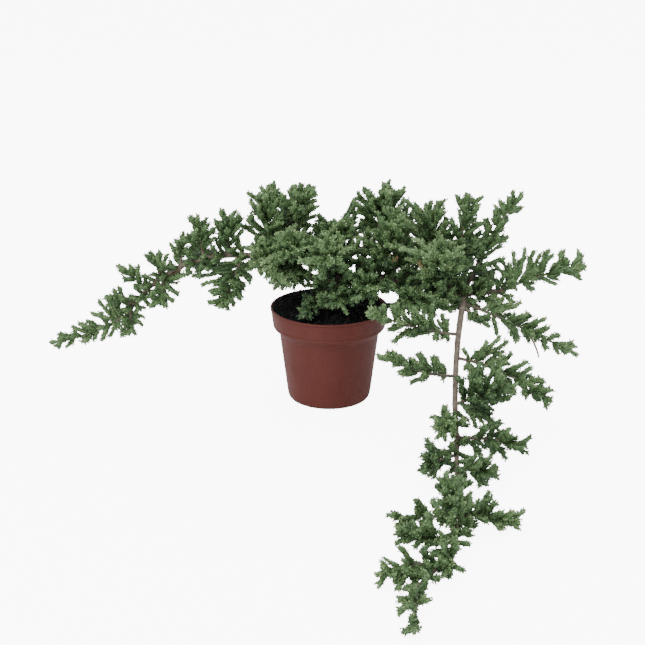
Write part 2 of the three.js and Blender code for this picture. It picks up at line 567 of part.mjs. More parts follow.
// Direction that leaves a curve at an angle, turned round it, and raised towards the light.
function twigAim(curve, t, turn, spread, lift) {
  const along = curve.getTangentAt(t);
  const side = new THREE.Vector3().crossVectors(along, frameAxis(curve)).normalize();
  const across = new THREE.Vector3().crossVectors(along, side);
  const aim = along.clone().multiplyScalar(Math.cos(spread));
  aim.addScaledVector(side, Math.sin(spread) * Math.cos(turn));
  aim.addScaledVector(across, Math.sin(spread) * Math.sin(turn));
  aim.z += lift * 0.6;
  return aim.normalize();
}

// One closed solid from a mass's stem and shoots. A shoot with which the whole would come open when its close
// points are welded is shifted by a hair, and is left out after a few tries.
function joined([stem, ...shoots]) {
  const draw = seeded(shoots.length);
  let whole = stem;
  let geometry = toGeometry(stem);
  for (const shoot of shoots) {
    for (let i = 0; i < MOST_TRIES; i += 1) {
      const shift = i === 0 ? [0, 0, 0] : [draw(-HAIR, HAIR), draw(-HAIR, HAIR), draw(-HAIR, HAIR)];
      const next = whole.add(shoot.translate(shift));
      const smooth = toGeometry(largestPart(next.simplify(SMOOTHING)));
      if (WELDS.every((distance) => staysClosed(smooth, distance))) {
        whole = next;
        geometry = smooth;
        break;
      }
    }
  }
  return geometry;
}

// Whether every edge still has one face on either side once points closer than a distance are taken as one.
function staysClosed(geometry, distance) {
  const bare = geometry.clone();
  bare.deleteAttribute('normal');
  const corners = mergeVertices(bare, distance).index.array;
  const edges = new Set();
  for (let i = 0; i < corners.length; i += 3) {
    const [a, b, c] = corners.slice(i, i + 3);
    const sides = a === b || b === c || c === a ? [] : [[a, b], [b, c], [c, a]];
    for (const [start, end] of sides) {
      if (edges.has(`${start} ${end}`)) {
        return false;
      }
      edges.add(`${start} ${end}`);
    }
  }
  return [...edges].every((edge) => edges.has(edge.split(' ').reverse().join(' ')));
}

function finish(name, geometry, colour, roughness) {
  const material = new THREE.MeshStandardMaterial({ color: colour, roughness, metalness: 0 });
  const mesh = new THREE.Mesh(geometry, material);
  mesh.name = name;
  return mesh;
}

const bonsai = new THREE.Group();
bonsai.add(finish('pot', potGeometry(), COLOURS.plastic, 0.5));
bonsai.add(finish('soil', soilGeometry(), COLOURS.soil, 0.95));

const limbs = new Map();
for (const row of LIMBS) {
  const limb = growLimb(row, [...limbs.values()]);
  limbs.set(limb.name, limb);
  bonsai.add(finish(limb.name, limb.geometry, COLOURS.bark, 0.85));
}

// All stems are laid first, so that every mass keeps clear of every other mass's stem.
const plans = MASSES.map((row) => Object.fromEntries(row.map((value, i) => [MASS_FIELDS[i], value])));
const masses = plans.map((plan) => layStem(plan, limbs.get(plan.limb)));
masses.forEach((mass, index) => {
  const others = [...limbs.values(), ...masses.filter((other) => other !== mass)];
  growMass(mass, index + 1, others);
  bonsai.add(finish(mass.plan.name, joined(mass.solids), COLOURS[mass.plan.tint], 0.8));
});

export default bonsai;
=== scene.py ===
# %% [markdown]
# # A cascading juniper in a nursery pot
# The imported model comes in first, as a frame that nothing here moves. Its box is kept: the twigs and
# needles are kept inside it, and it is printed again at the end. Every size below is in millimetres, as on
# the bench, and is turned into Blender's metres only where a mesh is made.

# %% Load the frame
import math

import bpy
import numpy as np
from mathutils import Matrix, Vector


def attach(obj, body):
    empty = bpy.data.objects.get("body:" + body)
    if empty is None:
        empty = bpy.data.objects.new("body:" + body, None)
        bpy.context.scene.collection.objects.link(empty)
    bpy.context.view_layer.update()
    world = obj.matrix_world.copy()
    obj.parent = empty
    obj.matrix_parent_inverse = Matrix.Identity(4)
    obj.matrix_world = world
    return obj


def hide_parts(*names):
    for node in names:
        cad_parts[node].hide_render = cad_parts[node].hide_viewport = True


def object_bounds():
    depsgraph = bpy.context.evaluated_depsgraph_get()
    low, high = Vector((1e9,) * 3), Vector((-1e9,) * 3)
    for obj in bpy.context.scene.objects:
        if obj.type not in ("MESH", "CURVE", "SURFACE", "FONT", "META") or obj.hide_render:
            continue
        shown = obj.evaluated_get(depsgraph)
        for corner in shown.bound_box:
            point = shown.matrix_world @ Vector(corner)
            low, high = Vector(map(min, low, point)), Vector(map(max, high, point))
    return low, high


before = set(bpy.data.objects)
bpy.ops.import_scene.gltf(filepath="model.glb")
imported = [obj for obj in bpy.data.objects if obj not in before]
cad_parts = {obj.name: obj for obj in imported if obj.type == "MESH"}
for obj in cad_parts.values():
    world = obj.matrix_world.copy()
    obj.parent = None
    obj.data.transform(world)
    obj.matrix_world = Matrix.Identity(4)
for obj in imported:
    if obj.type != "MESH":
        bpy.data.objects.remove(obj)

cad_low, cad_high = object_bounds()
MM = 0.001
FULL_TURN = 2 * math.pi
rng = np.random.default_rng(2207)
print("nodes:", len(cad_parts), "CAD box:", [round(v, 3) for v in (*cad_low, *cad_high)])

# %% [markdown]
# ## The camera
# The photograph was taken from a little above, with a longish lens from about a metre away. The angle comes
# from the ellipse of the pot's rim, and the distance from the rim's real width: so many pixels stand for
# 105 mm. A camera looks along its own -Z, and to_track_quat turns that axis on to the target.

# %% Camera
PICTURE_WIDTH = 645  # pixels
RIM_WIDTH_IN_PICTURE = 117.2  # pixels
RIM_WIDTH = 105.0
CAMERA_DISTANCE = 1100.0
CAMERA_ELEVATION = math.radians(19.6)
CAMERA_TARGET = Vector((-6.0, 0.0, 70.0))
SENSOR_WIDTH = 36.0
FARTHEST_SEEN = 100  # metres
LOWEST_TIP = 4.0  # height of the lowest tip of a twig

back = Vector((0, -math.cos(CAMERA_ELEVATION), math.sin(CAMERA_ELEVATION)))
focal_pixels = CAMERA_DISTANCE * RIM_WIDTH_IN_PICTURE / RIM_WIDTH
camera_data = bpy.data.cameras.new("camera")
camera_data.sensor_width = SENSOR_WIDTH
camera_data.lens = focal_pixels / PICTURE_WIDTH * SENSOR_WIDTH
camera_data.clip_end = FARTHEST_SEEN
camera = bpy.data.objects.new("camera", camera_data)
camera.location = (CAMERA_TARGET + back * CAMERA_DISTANCE) * MM
camera.rotation_mode = "QUATERNION"
camera.rotation_quaternion = (-back).to_track_quat("-Z", "Y")
bpy.context.scene.collection.objects.link(camera)
bpy.context.scene.camera = camera
CAMERA_PLACE = np.array(CAMERA_TARGET + back * CAMERA_DISTANCE)
CAMERA_FORWARD = -np.array(back)
CAMERA_UP = np.cross([1.0, 0, 0], CAMERA_FORWARD)
PICTURE_MIDDLE = PICTURE_WIDTH / 2


def in_picture(points):
    """Pixel of each point: its offset across and up over its depth, times the focal length in pixels."""
    offset = points - CAMERA_PLACE
    depth = offset @ CAMERA_FORWARD
    across, up = offset[..., 0] / depth, offset @ CAMERA_UP / depth
    return PICTURE_MIDDLE + focal_pixels * np.stack([across, -up], -1)


def behind_pixel(pixel, depth):
    """The point that a pixel shows at a depth, or nearer on its ray where that is under the ground."""
    across, down = (np.asarray(pixel, float) - PICTURE_MIDDLE) / focal_pixels
    ray = CAMERA_FORWARD + np.array([across, 0, 0]) - CAMERA_UP * down
    to_ground = (LOWEST_TIP - CAMERA_PLACE[2]) / ray[2]
    return CAMERA_PLACE + ray * min(depth, to_ground)


print("lens:", round(camera_data.lens, 2), "mm")

# %% [markdown]
# ## Sizes of the plant
# The limbs are cubic curves: start, two handles, end, and the radius at either end. The foliage comes in
# masses, each round one stem: which limb carries it and where, the stem's reach, heading, rise and sag,
# then its twigs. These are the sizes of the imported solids, all but the heap's height, so whatever is grown
# from them keeps to their reach.

# %% Named sizes
GAP = 0.3
GROUND_GAP = 1.0
POT_HEIGHT = 86
POT_RIM_RADIUS = 52.5
POT_LIP_RADIUS = 50.2
POT_LIP_HEIGHT = 17
POT_NECK_RADIUS = 44.6
POT_NECK_DROP = 6
POT_BASE_RADIUS = 37.2
POT_BASE_ROUND = 5
POT_WALL = 1.5
SOIL_HEIGHT = 83.5
SOIL_MOUND = 4.8  # lower in the solids, but the photograph shows the heap up to the rim
TRUNK_FOOT = (-2, 5)

LIMBS = {
    "trunk": ([[-1, 6, 78.5], [-6, 1, 100], [8, 2, 112], [5, 0, 130]], 7.4, 4.4),
    "left_bough": ([[0, 3, 100], [-48, -2, 142], [-128, -14, 158], [-180, -10, 80]], 3.4, 1.7),
    "right_bough": ([[4, 2, 108], [45, -4, 128], [95, -22, 94], [150, -28, 110]], 4.0, 2.2),
    "crown_left_bough": ([[3, 2, 118], [-12, 2, 128], [-24, 4, 134], [-30, 4, 150]], 2.8, 1.9),
    "crown_right_bough": ([[5, 1, 124], [16, 2, 134], [34, 4, 136], [42, 4, 150]], 2.8, 1.9),
    "back_bough": ([[3, 3, 112], [4, 16, 124], [6, 26, 128], [8, 38, 132]], 2.6, 1.8),
    "trailing_bough": ([[117, -26, 104], [111, -62, 108], [99, -100, 62], [101, -150, 22]], 2.8, 2.1),
    "trailing_bough_end": ([[101, -150, 22], [91, -219, 1], [107, -271, 10], [56, -338, 7]], 2.1, 1.3),
}

MASS_FIELDS = (
    "name", "limb", "at", "reach", "heading", "rise", "sag", "twigs", "twig_length", "lift", "girth", "tint",
)
# tint: how light a mass's greens are, partly its own colour and partly painted light and shade: deep masses
# lie low or at the back, bright ones stand out in front or at the ends of the boughs
MASSES = [
    ("left_tip", "left_bough", 1.0, 78, 172, -22, -9, 15, 14, 0.35, 4.6, "bright"),
    ("left_tip_upper", "left_bough", 0.93, 26, -162, 21, 0, 7, 12, 0.4, 4.4, "bright"),
    ("left_tip_lower", "left_bough", 0.95, 24, -104, -60, 0, 6, 11, 0.0, 4.4, "deep"),
    ("left_long_upper", "left_bough", 0.84, 30, 169, 37, 2, 8, 12, 0.5, 4.8, "middle"),
    ("left_mid_upper", "left_bough", 0.76, 22, -149, 73, 2, 10, 15, 0.4, 4.8, "middle"),
    ("left_mid_lower", "left_bough", 0.74, 25, -101, -52, -3, 9, 14, 0.0, 4.6, "deep"),
    ("left_tuft", "left_bough", 0.66, 29, 72, 73, 2, 12, 14, 0.3, 4.8, "middle"),
    ("left_crest", "left_bough", 0.55, 34, -152, 78, 3, 16, 17, 0.3, 5.2, "middle"),
    ("left_tall", "left_bough", 0.45, 32, 48, 83, 2, 16, 18, 0.3, 5.2, "deep"),
    ("left_loop", "left_bough", 0.38, 51, -126, -47, -8, 18, 18, 0.1, 5.2, "deep"),
    ("left_behind", "left_bough", 0.56, 49, 98, -16, 4, 14, 22, 0.3, 6, "deep"),
    ("crown_left_top", "crown_left_bough", 1.0, 46, 0, 82, 2, 30, 28, 0.25, 6.2, "middle"),
    ("crown_left_outer", "left_bough", 0.26, 56, 112, 78, 3, 24, 26, 0.25, 6.2, "middle"),
    ("crown_left_front", "left_bough", 0.22, 45, -102, 17, 4, 19, 26, 0.3, 7, "middle"),
    ("crown_left_low", "left_bough", 0.12, 61, -97, 35, 6, 22, 27, 0.3, 7, "bright"),
    ("crown_centre", "trunk", 1.0, 32, 93, 86, 2, 24, 26, 0.3, 6.0, "middle"),
    ("crown_front", "trunk", 0.75, 71, -95, 27, 8, 24, 28, 0.3, 7, "bright"),
    ("crown_front_low", "trunk", 0.55, 48, -83, 0, 6, 19, 22, 0.2, 6, "middle"),
    ("crown_droop", "trunk", 0.42, 53, -115, -9, 6, 8, 13, 0.1, 4.6, "deep"),
    ("crown_right_front", "right_bough", 0.2, 44, -100, 2, 6, 19, 22, 0.2, 6, "middle"),
    ("crown_right_top", "crown_right_bough", 1.0, 44, -21, 83, 2, 30, 28, 0.25, 6.2, "middle"),
    ("crown_right_mid", "right_bough", 0.34, 67, -101, 64, 5, 26, 27, 0.3, 6.5, "middle"),
    ("crown_right_outer", "right_bough", 0.52, 67, 33, 81, 4, 22, 26, 0.3, 7, "middle"),
    ("crown_back_left", "left_bough", 0.12, 69, 103, 34, 6, 22, 28, 0.3, 7, "deep"),
    ("crown_back", "back_bough", 1.0, 36, 76, 36, 4, 19, 28, 0.3, 7, "deep"),
    ("crown_back_right", "right_bough", 0.3, 71, 71, 33, 6, 22, 28, 0.3, 7, "deep"),
    ("right_fan", "right_bough", 0.42, 38, -97, -4, 5, 19, 24, 0.1, 6, "deep"),
    ("right_fan_outer", "right_bough", 0.56, 45, -89, -4, 5, 19, 22, 0.1, 6, "deep"),
    ("right_front", "right_bough", 0.62, 64, -97, 42, 6, 22, 28, 0.3, 7, "middle"),
    ("right_upper", "right_bough", 0.67, 82, 15, 78, 4, 20, 26, 0.3, 6, "middle"),
    ("right_upper_outer", "right_bough", 0.77, 95, 14, 60, 22, 21, 20, 0.25, 5.2, "middle"),
    ("right_far", "right_bough", 1.0, 79, 16, 11, 6, 18, 22, 0.35, 5.4, "bright"),
    ("right_behind", "right_bough", 0.7, 75, 60, 20, 6, 19, 27, 0.3, 6.5, "deep"),
    ("right_lower", "trailing_bough", 0.1, 110, -2, -25, 3, 14, 18, 0.2, 4.6, "bright"),
    ("right_small", "trailing_bough", 0.14, 25, -42, -23, 0, 8, 12, 0.0, 4.4, "deep"),
    ("trail_left_upper", "trailing_bough", 0.35, 90, -154, 21, -6, 18, 16, 0.45, 5, "middle"),
    ("trail_right_upper", "trailing_bough", 0.5, 84, -15, -21, 12, 20, 19, 0.2, 5.2, "middle"),
    ("trail_left_mid", "trailing_bough", 0.61, 70, -159, 22, -8, 14, 16, 0.35, 5, "middle"),
    ("trail_right_bushy", "trailing_bough", 0.78, 43, -25, 32, 0, 24, 24, 0.3, 5.5, "deep"),
    ("trail_ball", "trailing_bough", 0.88, 32, -116, 15, 3, 16, 14, 0.3, 4.6, "bright"),
    ("trail_right_mid", "trailing_bough", 0.97, 56, -25, 4, 4, 14, 19, 0.4, 5.5, "deep"),
    ("trail_left_small", "trailing_bough_end", 0.06, 34, -143, 1, 0, 13, 17, 0.4, 5.0, "deep"),
    ("trail_right_small", "trailing_bough_end", 0.14, 26, -12, -6, 0, 12, 17, 0.3, 5.0, "deep"),
    ("trail_front", "trailing_bough_end", 0.6, 43, -157, 76, 0, 18, 17, 0.3, 5.0, "middle"),
    ("trail_right_low", "trailing_bough_end", 0.47, 42, -18, 3, 3, 13, 17, 0.25, 5.0, "middle"),
    ("trail_left_low", "trailing_bough_end", 0.49, 48, -171, 4, 3, 14, 18, 0.2, 5.5, "middle"),
    ("trail_left_end", "trailing_bough_end", 0.66, 40, 180, 6, 2, 11, 16, 0.2, 5.2, "middle"),
    ("leader", "trailing_bough_end", 1.0, 55, -96, 1, 5, 13, 14, 0.15, 5.0, "bright"),
    ("leader_left", "trailing_bough_end", 0.82, 46, -156, 3, 3, 13, 17, 0.05, 5.2, "bright"),
    ("leader_right", "trailing_bough_end", 0.7, 38, -100, 7, 1, 10, 15, 0.3, 5.2, "middle"),
]
plans = [dict(zip(MASS_FIELDS, row)) for row in MASSES]
print("limbs:", len(LIMBS), "masses:", len(plans))

# %% [markdown]
# ## Curves
# Everything that grows follows a Bezier curve. Its raw parameter bunches up where the handles are close, so
# each curve gets a table of the length run so far, and a share of the length is looked up in it. Working on
# whole arrays of shares keeps Python loops out of the meshes.

# %% Curves with a table of their length
CURVE_STEPS = 200
SHORTEST = 1e-12  # stands in for the length of a vector that has none


def bezier(points, t):
    """Points of a Bezier curve: neighbours are blended in pairs, over and over, until one is left."""
    level = [np.asarray(point, float) for point in points]
    t = np.asarray(t, float)[..., None]
    while len(level) > 1:
        level = [a + (b - a) * t for a, b in zip(level, level[1:])]
    return np.broadcast_to(level[0], t.shape[:-1] + (3,))


def unit(vectors):
    """The vectors divided by their own length."""
    return vectors / np.maximum(np.linalg.norm(vectors, axis=-1, keepdims=True), SHORTEST)


def swing(side, across, turn):
    """Directions round an axis: the side one by the cosine of each turn, the one across by its sine."""
    return side * np.cos(turn)[..., None] + across * np.sin(turn)[..., None]


class Path:
    """A Bezier curve that is read by share of its length."""

    def __init__(self, points):
        self.points = np.asarray(points, float)
        self.steps = np.linspace(0, 1, CURVE_STEPS + 1)
        run = np.linalg.norm(np.diff(bezier(self.points, self.steps), axis=0), axis=1).cumsum()
        self.length = run[-1]
        self.shares = np.concatenate([[0], run / run[-1]])
        chord = np.abs(self.points[-1] - self.points[0])
        self.reference = np.eye(3)[np.argmin(chord)]

    def parameter(self, share):
        return np.interp(share, self.shares, self.steps)

    def at(self, share):
        return bezier(self.points, self.parameter(share))

    def along(self, share):
        """Direction of growth: the slope of the curve, which is a curve of the gaps between its points."""
        return unit(bezier(np.diff(self.points, axis=0), self.parameter(share)))

    def side(self, share):
        return unit(np.cross(self.along(share), self.reference))


print("left bough:", round(Path(LIMBS["left_bough"][0]).length), "mm long")

# %% [markdown]
# ## Room between things
# A twig may not grow through a limb or a neighbour. A chain of short straight pieces, with a radius at
# either end of each, stands for a limb or a shoot, and the room between two chains is the least distance
# between their pieces, less the radii. All pairs are worked out at once.

# %% Chains and the room between them
BOX_LOW, BOX_HIGH = np.array(cad_low) / MM, np.array(cad_high) / MM
BOX_MARGIN = 2.5
RIM_INSET = 6  # nearer to the rim than this, a twig stays above it
NEARLY_PARALLEL = 1e-9
START_SEARCH, START_STEP = 0.6, 0.05  # a share of the path, and millimetres
DISC_POINTS, SEARCH_BLOCKS = 8, 8


def chain_of(path, start, end, radius_at, count):
    """Rows of straight pieces: start point, end point, and the radius at each, along a stretch of a path."""
    share = np.linspace(0, 1, count + 1)
    points = path.at(start + (end - start) * share)
    radii = np.array([radius_at(s) for s in share])
    return np.hstack([points[:-1], points[1:], radii[:-1, None], radii[1:, None]])


def room_at(points, chain):
    """Distance from each point to the nearest piece, less the radius there."""
    start, end = chain[:, 0:3], chain[:, 3:6]
    line = end - start
    offset = points[..., None, :] - start
    t = np.clip((offset * line).sum(-1) / (line * line).sum(-1), 0, 1)
    nearest = np.linalg.norm(offset - line * t[..., None], axis=-1)
    return (nearest - chain[:, 6] - (chain[:, 7] - chain[:, 6]) * t).min(-1)


def room_between(chain, others):
    """Least distance between any two pieces, one of each chain, less their radii where they are nearest."""
    if not len(others):
        return math.inf
    a, b = chain[:, None], others[None]
    along, across = a[..., 3:6] - a[..., 0:3], b[..., 3:6] - b[..., 0:3]
    between = a[..., 0:3] - b[..., 0:3]
    aa, bb, ab = (along * along).sum(-1), (across * across).sum(-1), (along * across).sum(-1)
    af, bf = (along * between).sum(-1), (across * between).sum(-1)
    crossing = aa * bb - ab * ab
    apart = crossing > NEARLY_PARALLEL
    s = np.where(apart, np.clip((ab * bf - af * bb) / np.where(apart, crossing, 1), 0, 1), 0)
    t = np.clip((ab * s + bf) / bb, 0, 1)
    s = np.clip((ab * t - af) / aa, 0, 1)
    distance = np.linalg.norm(between + along * s[..., None] - across * t[..., None], axis=-1)
    radii = a[..., 6] + (a[..., 7] - a[..., 6]) * s + b[..., 6] + (b[..., 7] - b[..., 6]) * t
    return (distance - radii).min()


def room_round_pot(points, radii):
    """Space outside the pot and above the soil, or -1 where a point is too near the ground."""
    out = np.hypot(points[..., 0], points[..., 1])
    above_soil = points[..., 2] - SOIL_HEIGHT - SOIL_MOUND - radii
    above_rim = points[..., 2] - POT_HEIGHT - radii
    over_soil = np.where(out + radii < POT_RIM_RADIUS - RIM_INSET, above_soil, above_rim)
    room = np.maximum(over_soil, out - POT_RIM_RADIUS - radii)
    return np.where(points[..., 2] - radii < GROUND_GAP, -1.0, room)


def clear_start(path, radius, chain):
    """First share of a path at which a disc of the radius, square to the path, is clear of the chain."""
    shares = np.arange(0, START_SEARCH, START_STEP / path.length)
    along, side = path.along(shares), path.side(shares)
    turns = np.linspace(0, FULL_TURN, DISC_POINTS + 1)[:-1]
    rim = swing(side[:, None], np.cross(along, side)[:, None], turns)
    centre = path.at(shares)[:, None]
    blocks = np.array_split(np.concatenate([centre, centre + radius * rim], axis=1), SEARCH_BLOCKS)
    clear = np.concatenate([room_at(block, chain).min(-1) for block in blocks]) >= GAP
    return shares[clear.argmax()] if clear.any() else 0.0


def inside_box(points, margin):
    """Whether all points lie in the box of the solids, less the margin on each side."""
    return bool((points > BOX_LOW + margin).all() and (points < BOX_HIGH - margin).all())


print("room beside the rim:", room_round_pot(np.array([60.0, 0, 50]), 1.0))

# %% [markdown]
# ## Limbs
# Each limb tapers along its curve. The trunk also flares at its foot. Only their chains and the place where
# each comes out of the one that carries it are needed for growing the foliage; their bark is made later.

# %% Where the limbs run
LIMB_STEP = 16
FEWEST_RINGS = 3
FLARE_RADIUS = 7.5
FLARE_HEIGHT = 0.3


def limb_radius(name, share):
    """Straight taper from root to tip. On the trunk, a flare that dies out as the square of what is left."""
    _, root, tip = LIMBS[name]
    flare = FLARE_RADIUS * np.maximum(0, 1 - share / FLARE_HEIGHT) ** 2 if name == "trunk" else 0
    return root + (tip - root) * share + flare


limbs = {}
for name, (points, root, tip) in LIMBS.items():
    path = Path(points)
    carriers = np.vstack([limb["chain"] for limb in limbs.values()]) if limbs else None
    start = 0.0 if carriers is None else clear_start(path, root, carriers)
    rings = max(FEWEST_RINGS, round(path.length * (1 - start) / LIMB_STEP))
    chain = chain_of(path, start, 1, lambda s, name=name: limb_radius(name, s), 2 * rings)
    limbs[name] = {"path": path, "from": start, "chain": chain}
print({name: round(limb["path"].length) for name, limb in limbs.items()})

# %% [markdown]
# ## The rule of growth
# Every mass has one stem. Twigs spiral up it by the golden angle, long and widely spread low down, short
# and close near the tip, and each is tried at other turns, and then shorter, until it finds room. The
# numbers that look random come from a short formula with a fixed seed, so the plant is the same each time,
# and it is the same rule as in the solids, so each spray grows where its solid is. Only a twig that is
# crowded out there may still grow here, in between its neighbours.

# %% Stems and twigs
STEM_RADIUS, STEM_TIP_RADIUS = 1.5, 1.1
TIP_SHOOT, TIP_SHARE, TIP_GIRTH = 18, 0.42, 0.9
BARE_FOOT, LAST_TWIG = 0.14, 0.92
ROOT_SPREAD, TIP_SPREAD, SPREAD_DRAW = 64, 38, 7
ROOT_REACH, TIP_REACH, REACH_DRAW = 1.1, 0.6, (0.85, 1.12)
SHOOT_PIECES, SHOOT_SIZES, SHOOT_TURNS, SHORTEST_SHOOT = 3, (1, 0.66), 6, 7.5
SLIM_SHOOT, FULL_SHOOT, NEIGHBOUR_OVERLAP, LIMB_OVERLAP = 0.6, 20, 0.35, 0.5
SHOOT_MIDDLE, SHOOT_SAG, SHOOT_RISE, AIM_LIFT, STEM_PIECES = 0.55, 0.12, 0.2, 0.6, 6
SLIM_ROOT, SWELLING, BLUNT_TIP, ROUNDING = 0.45, 1.6, 0.3, 2.4
GOLDEN_ANGLE = math.radians(137.5)
SEED_FACTOR, DRAW_FACTOR, DRAW_STEP, STATES = 2654435761, 1664525, 1013904223, 2**32


def seeded(seed):
    """A linear congruential generator: the last state times a number, plus another, kept to 32 bits."""
    state = seed * SEED_FACTOR % STATES

    def draw(low=0.0, high=1.0):
        nonlocal state
        state = (state * DRAW_FACTOR + DRAW_STEP) % STATES
        return low + (high - low) * state / STATES

    return draw


def shoot_radius(share, radius):
    """Reach of the needles: slim at the root, widest past the middle, round at the tip."""
    return radius * min(1, SLIM_ROOT + SWELLING * share) * min(1, BLUNT_TIP + ROUNDING * (1 - share))


def shoot_points(root, aim, length, lift):
    """Root, middle and tip of a shoot that sags a little and then turns up to the light."""
    middle = root + aim * length * SHOOT_MIDDLE - [0, 0, length * lift * SHOOT_SAG]
    return np.array([root, middle, root + aim * length + [0, 0, SHOOT_RISE * length * lift]])


def shoot_chain(points, radius):
    """The chain of a whole shoot, with the reach of its needles as its radius."""
    return chain_of(Path(points), 0, 1, lambda s: shoot_radius(s, radius), SHOOT_PIECES)


def stem_points(plan, limb):
    """Root on the limb, tip at the reach along the heading and rise, and a middle raised by the sag."""
    turn, climb = math.radians(plan["heading"]), math.radians(plan["rise"])
    aim = np.array([math.cos(turn), math.sin(turn), math.tan(climb)])
    aim /= np.linalg.norm(aim)
    root = limb["path"].at(limb["from"] + (1 - limb["from"]) * plan["at"])
    middle = root + aim * plan["reach"] / 2 + [0, 0, plan["sag"]]
    return np.array([root, middle, root + aim * plan["reach"]])


def lay_stem(plan):
    """A mass with its stem and tip shoot, before its twigs grow."""
    limb = limbs[plan["limb"]]
    path = Path(stem_points(plan, limb))
    start = clear_start(path, STEM_RADIUS, limb["chain"])
    tip_from = 1 - min(TIP_SHOOT / path.length, TIP_SHARE)
    girth = TIP_GIRTH * plan["girth"]
    wood = chain_of(
        path, start, tip_from, lambda s: STEM_RADIUS + (STEM_TIP_RADIUS - STEM_RADIUS) * s, STEM_PIECES
    )
    tip = chain_of(path, tip_from, 1, lambda s: shoot_radius(s, girth), SHOOT_PIECES)
    mass = {"plan": plan, "path": path, "from": start, "chain": np.vstack([wood, tip]), "shoots": tip[1:]}
    return mass | {"tip_from": tip_from, "twigs": []}


def twig_aim(path, share, turn, spread, lift):
    """The stem's direction turned aside by the spread, swung round the stem, and raised to the light."""
    along, side = path.along(share), path.side(share)
    across = np.cross(along, side)
    aim = along * math.cos(spread) + (side * math.cos(turn) + across * math.sin(turn)) * math.sin(spread)
    return unit(aim + [0, 0, AIM_LIFT * lift])


def grow_twig(mass, share, turn, spread, full_length, others):
    """Tries a twig at full length and then shorter, at several turns. Returns the next twig's turn.

    Where every try is crowded out, the first that only has neighbours in its way grows in between them.
    """
    plan, root = mass["plan"], mass["path"].at(share)
    squeezed = None
    for size in SHOOT_SIZES:
        length = full_length * size
        radius = plan["girth"] * min(1, SLIM_SHOOT + (1 - SLIM_SHOOT) * length / FULL_SHOOT)
        for _ in range(SHOOT_TURNS if length >= SHORTEST_SHOOT else 0):
            aim = twig_aim(mass["path"], share, turn, spread, plan["lift"])
            points = shoot_points(root, aim, length, plan["lift"])
            turn += GOLDEN_ANGLE
            chain = shoot_chain(points, radius)
            if (room_round_pot(chain[:, 3:6], chain[:, 7]) < GAP).any():
                continue
            crowded = room_between(chain[1:], mass["shoots"]) < -NEIGHBOUR_OVERLAP * radius
            if crowded or room_between(chain, others) < GAP:
                clear_of_limbs = room_between(chain[1:], limb_chains) > -LIMB_OVERLAP * radius
                if squeezed is None and clear_of_limbs and inside_box(points, BOX_MARGIN):
                    squeezed = (points, radius, share)
                continue
            mass["chain"] = np.vstack([mass["chain"], chain])
            mass["shoots"] = np.vstack([mass["shoots"], chain[1:]])
            mass["twigs"].append((points, radius, share))
            return turn
    if squeezed:
        mass["twigs"].append(squeezed)
    return turn


masses = [lay_stem(plan) for plan in plans]
limb_chains = np.vstack([limb["chain"] for limb in limbs.values()])
for seed, mass in enumerate(masses, 1):
    draw = seeded(seed)
    others = np.vstack([limb_chains] + [other["chain"] for other in masses if other is not mass])
    first, count = mass["from"] + BARE_FOOT, mass["plan"]["twigs"]
    turn = draw(0, FULL_TURN)
    for i in range(count):
        part = (i + 0.5) / count
        spread = ROOT_SPREAD + (TIP_SPREAD - ROOT_SPREAD) * part + draw(-SPREAD_DRAW, SPREAD_DRAW)
        length = mass["plan"]["twig_length"] * (ROOT_REACH + (TIP_REACH - ROOT_REACH) * part)
        share = first + (LAST_TWIG - first) * part
        turn = grow_twig(mass, share, turn, math.radians(spread), length * draw(*REACH_DRAW), others)
print("twigs:", sum(len(mass["twigs"]) for mass in masses))

# %% [markdown]
# ## Twigs that stand out in the photograph
# The outline of a conifer is made by the twigs that stand out against the sky, and its surface by those that
# stand out against their neighbours. Their tips are read off the photograph, in pixels, mass by mass. Each
# grows from its own mass's stem: the script tries places along the stem and takes the one from which the
# twig leaves at some 40 degrees and stays short. Its depth is that of its root, a little nearer or further,
# so it is a true twig from any side. Three more are bare twigs, without needles.

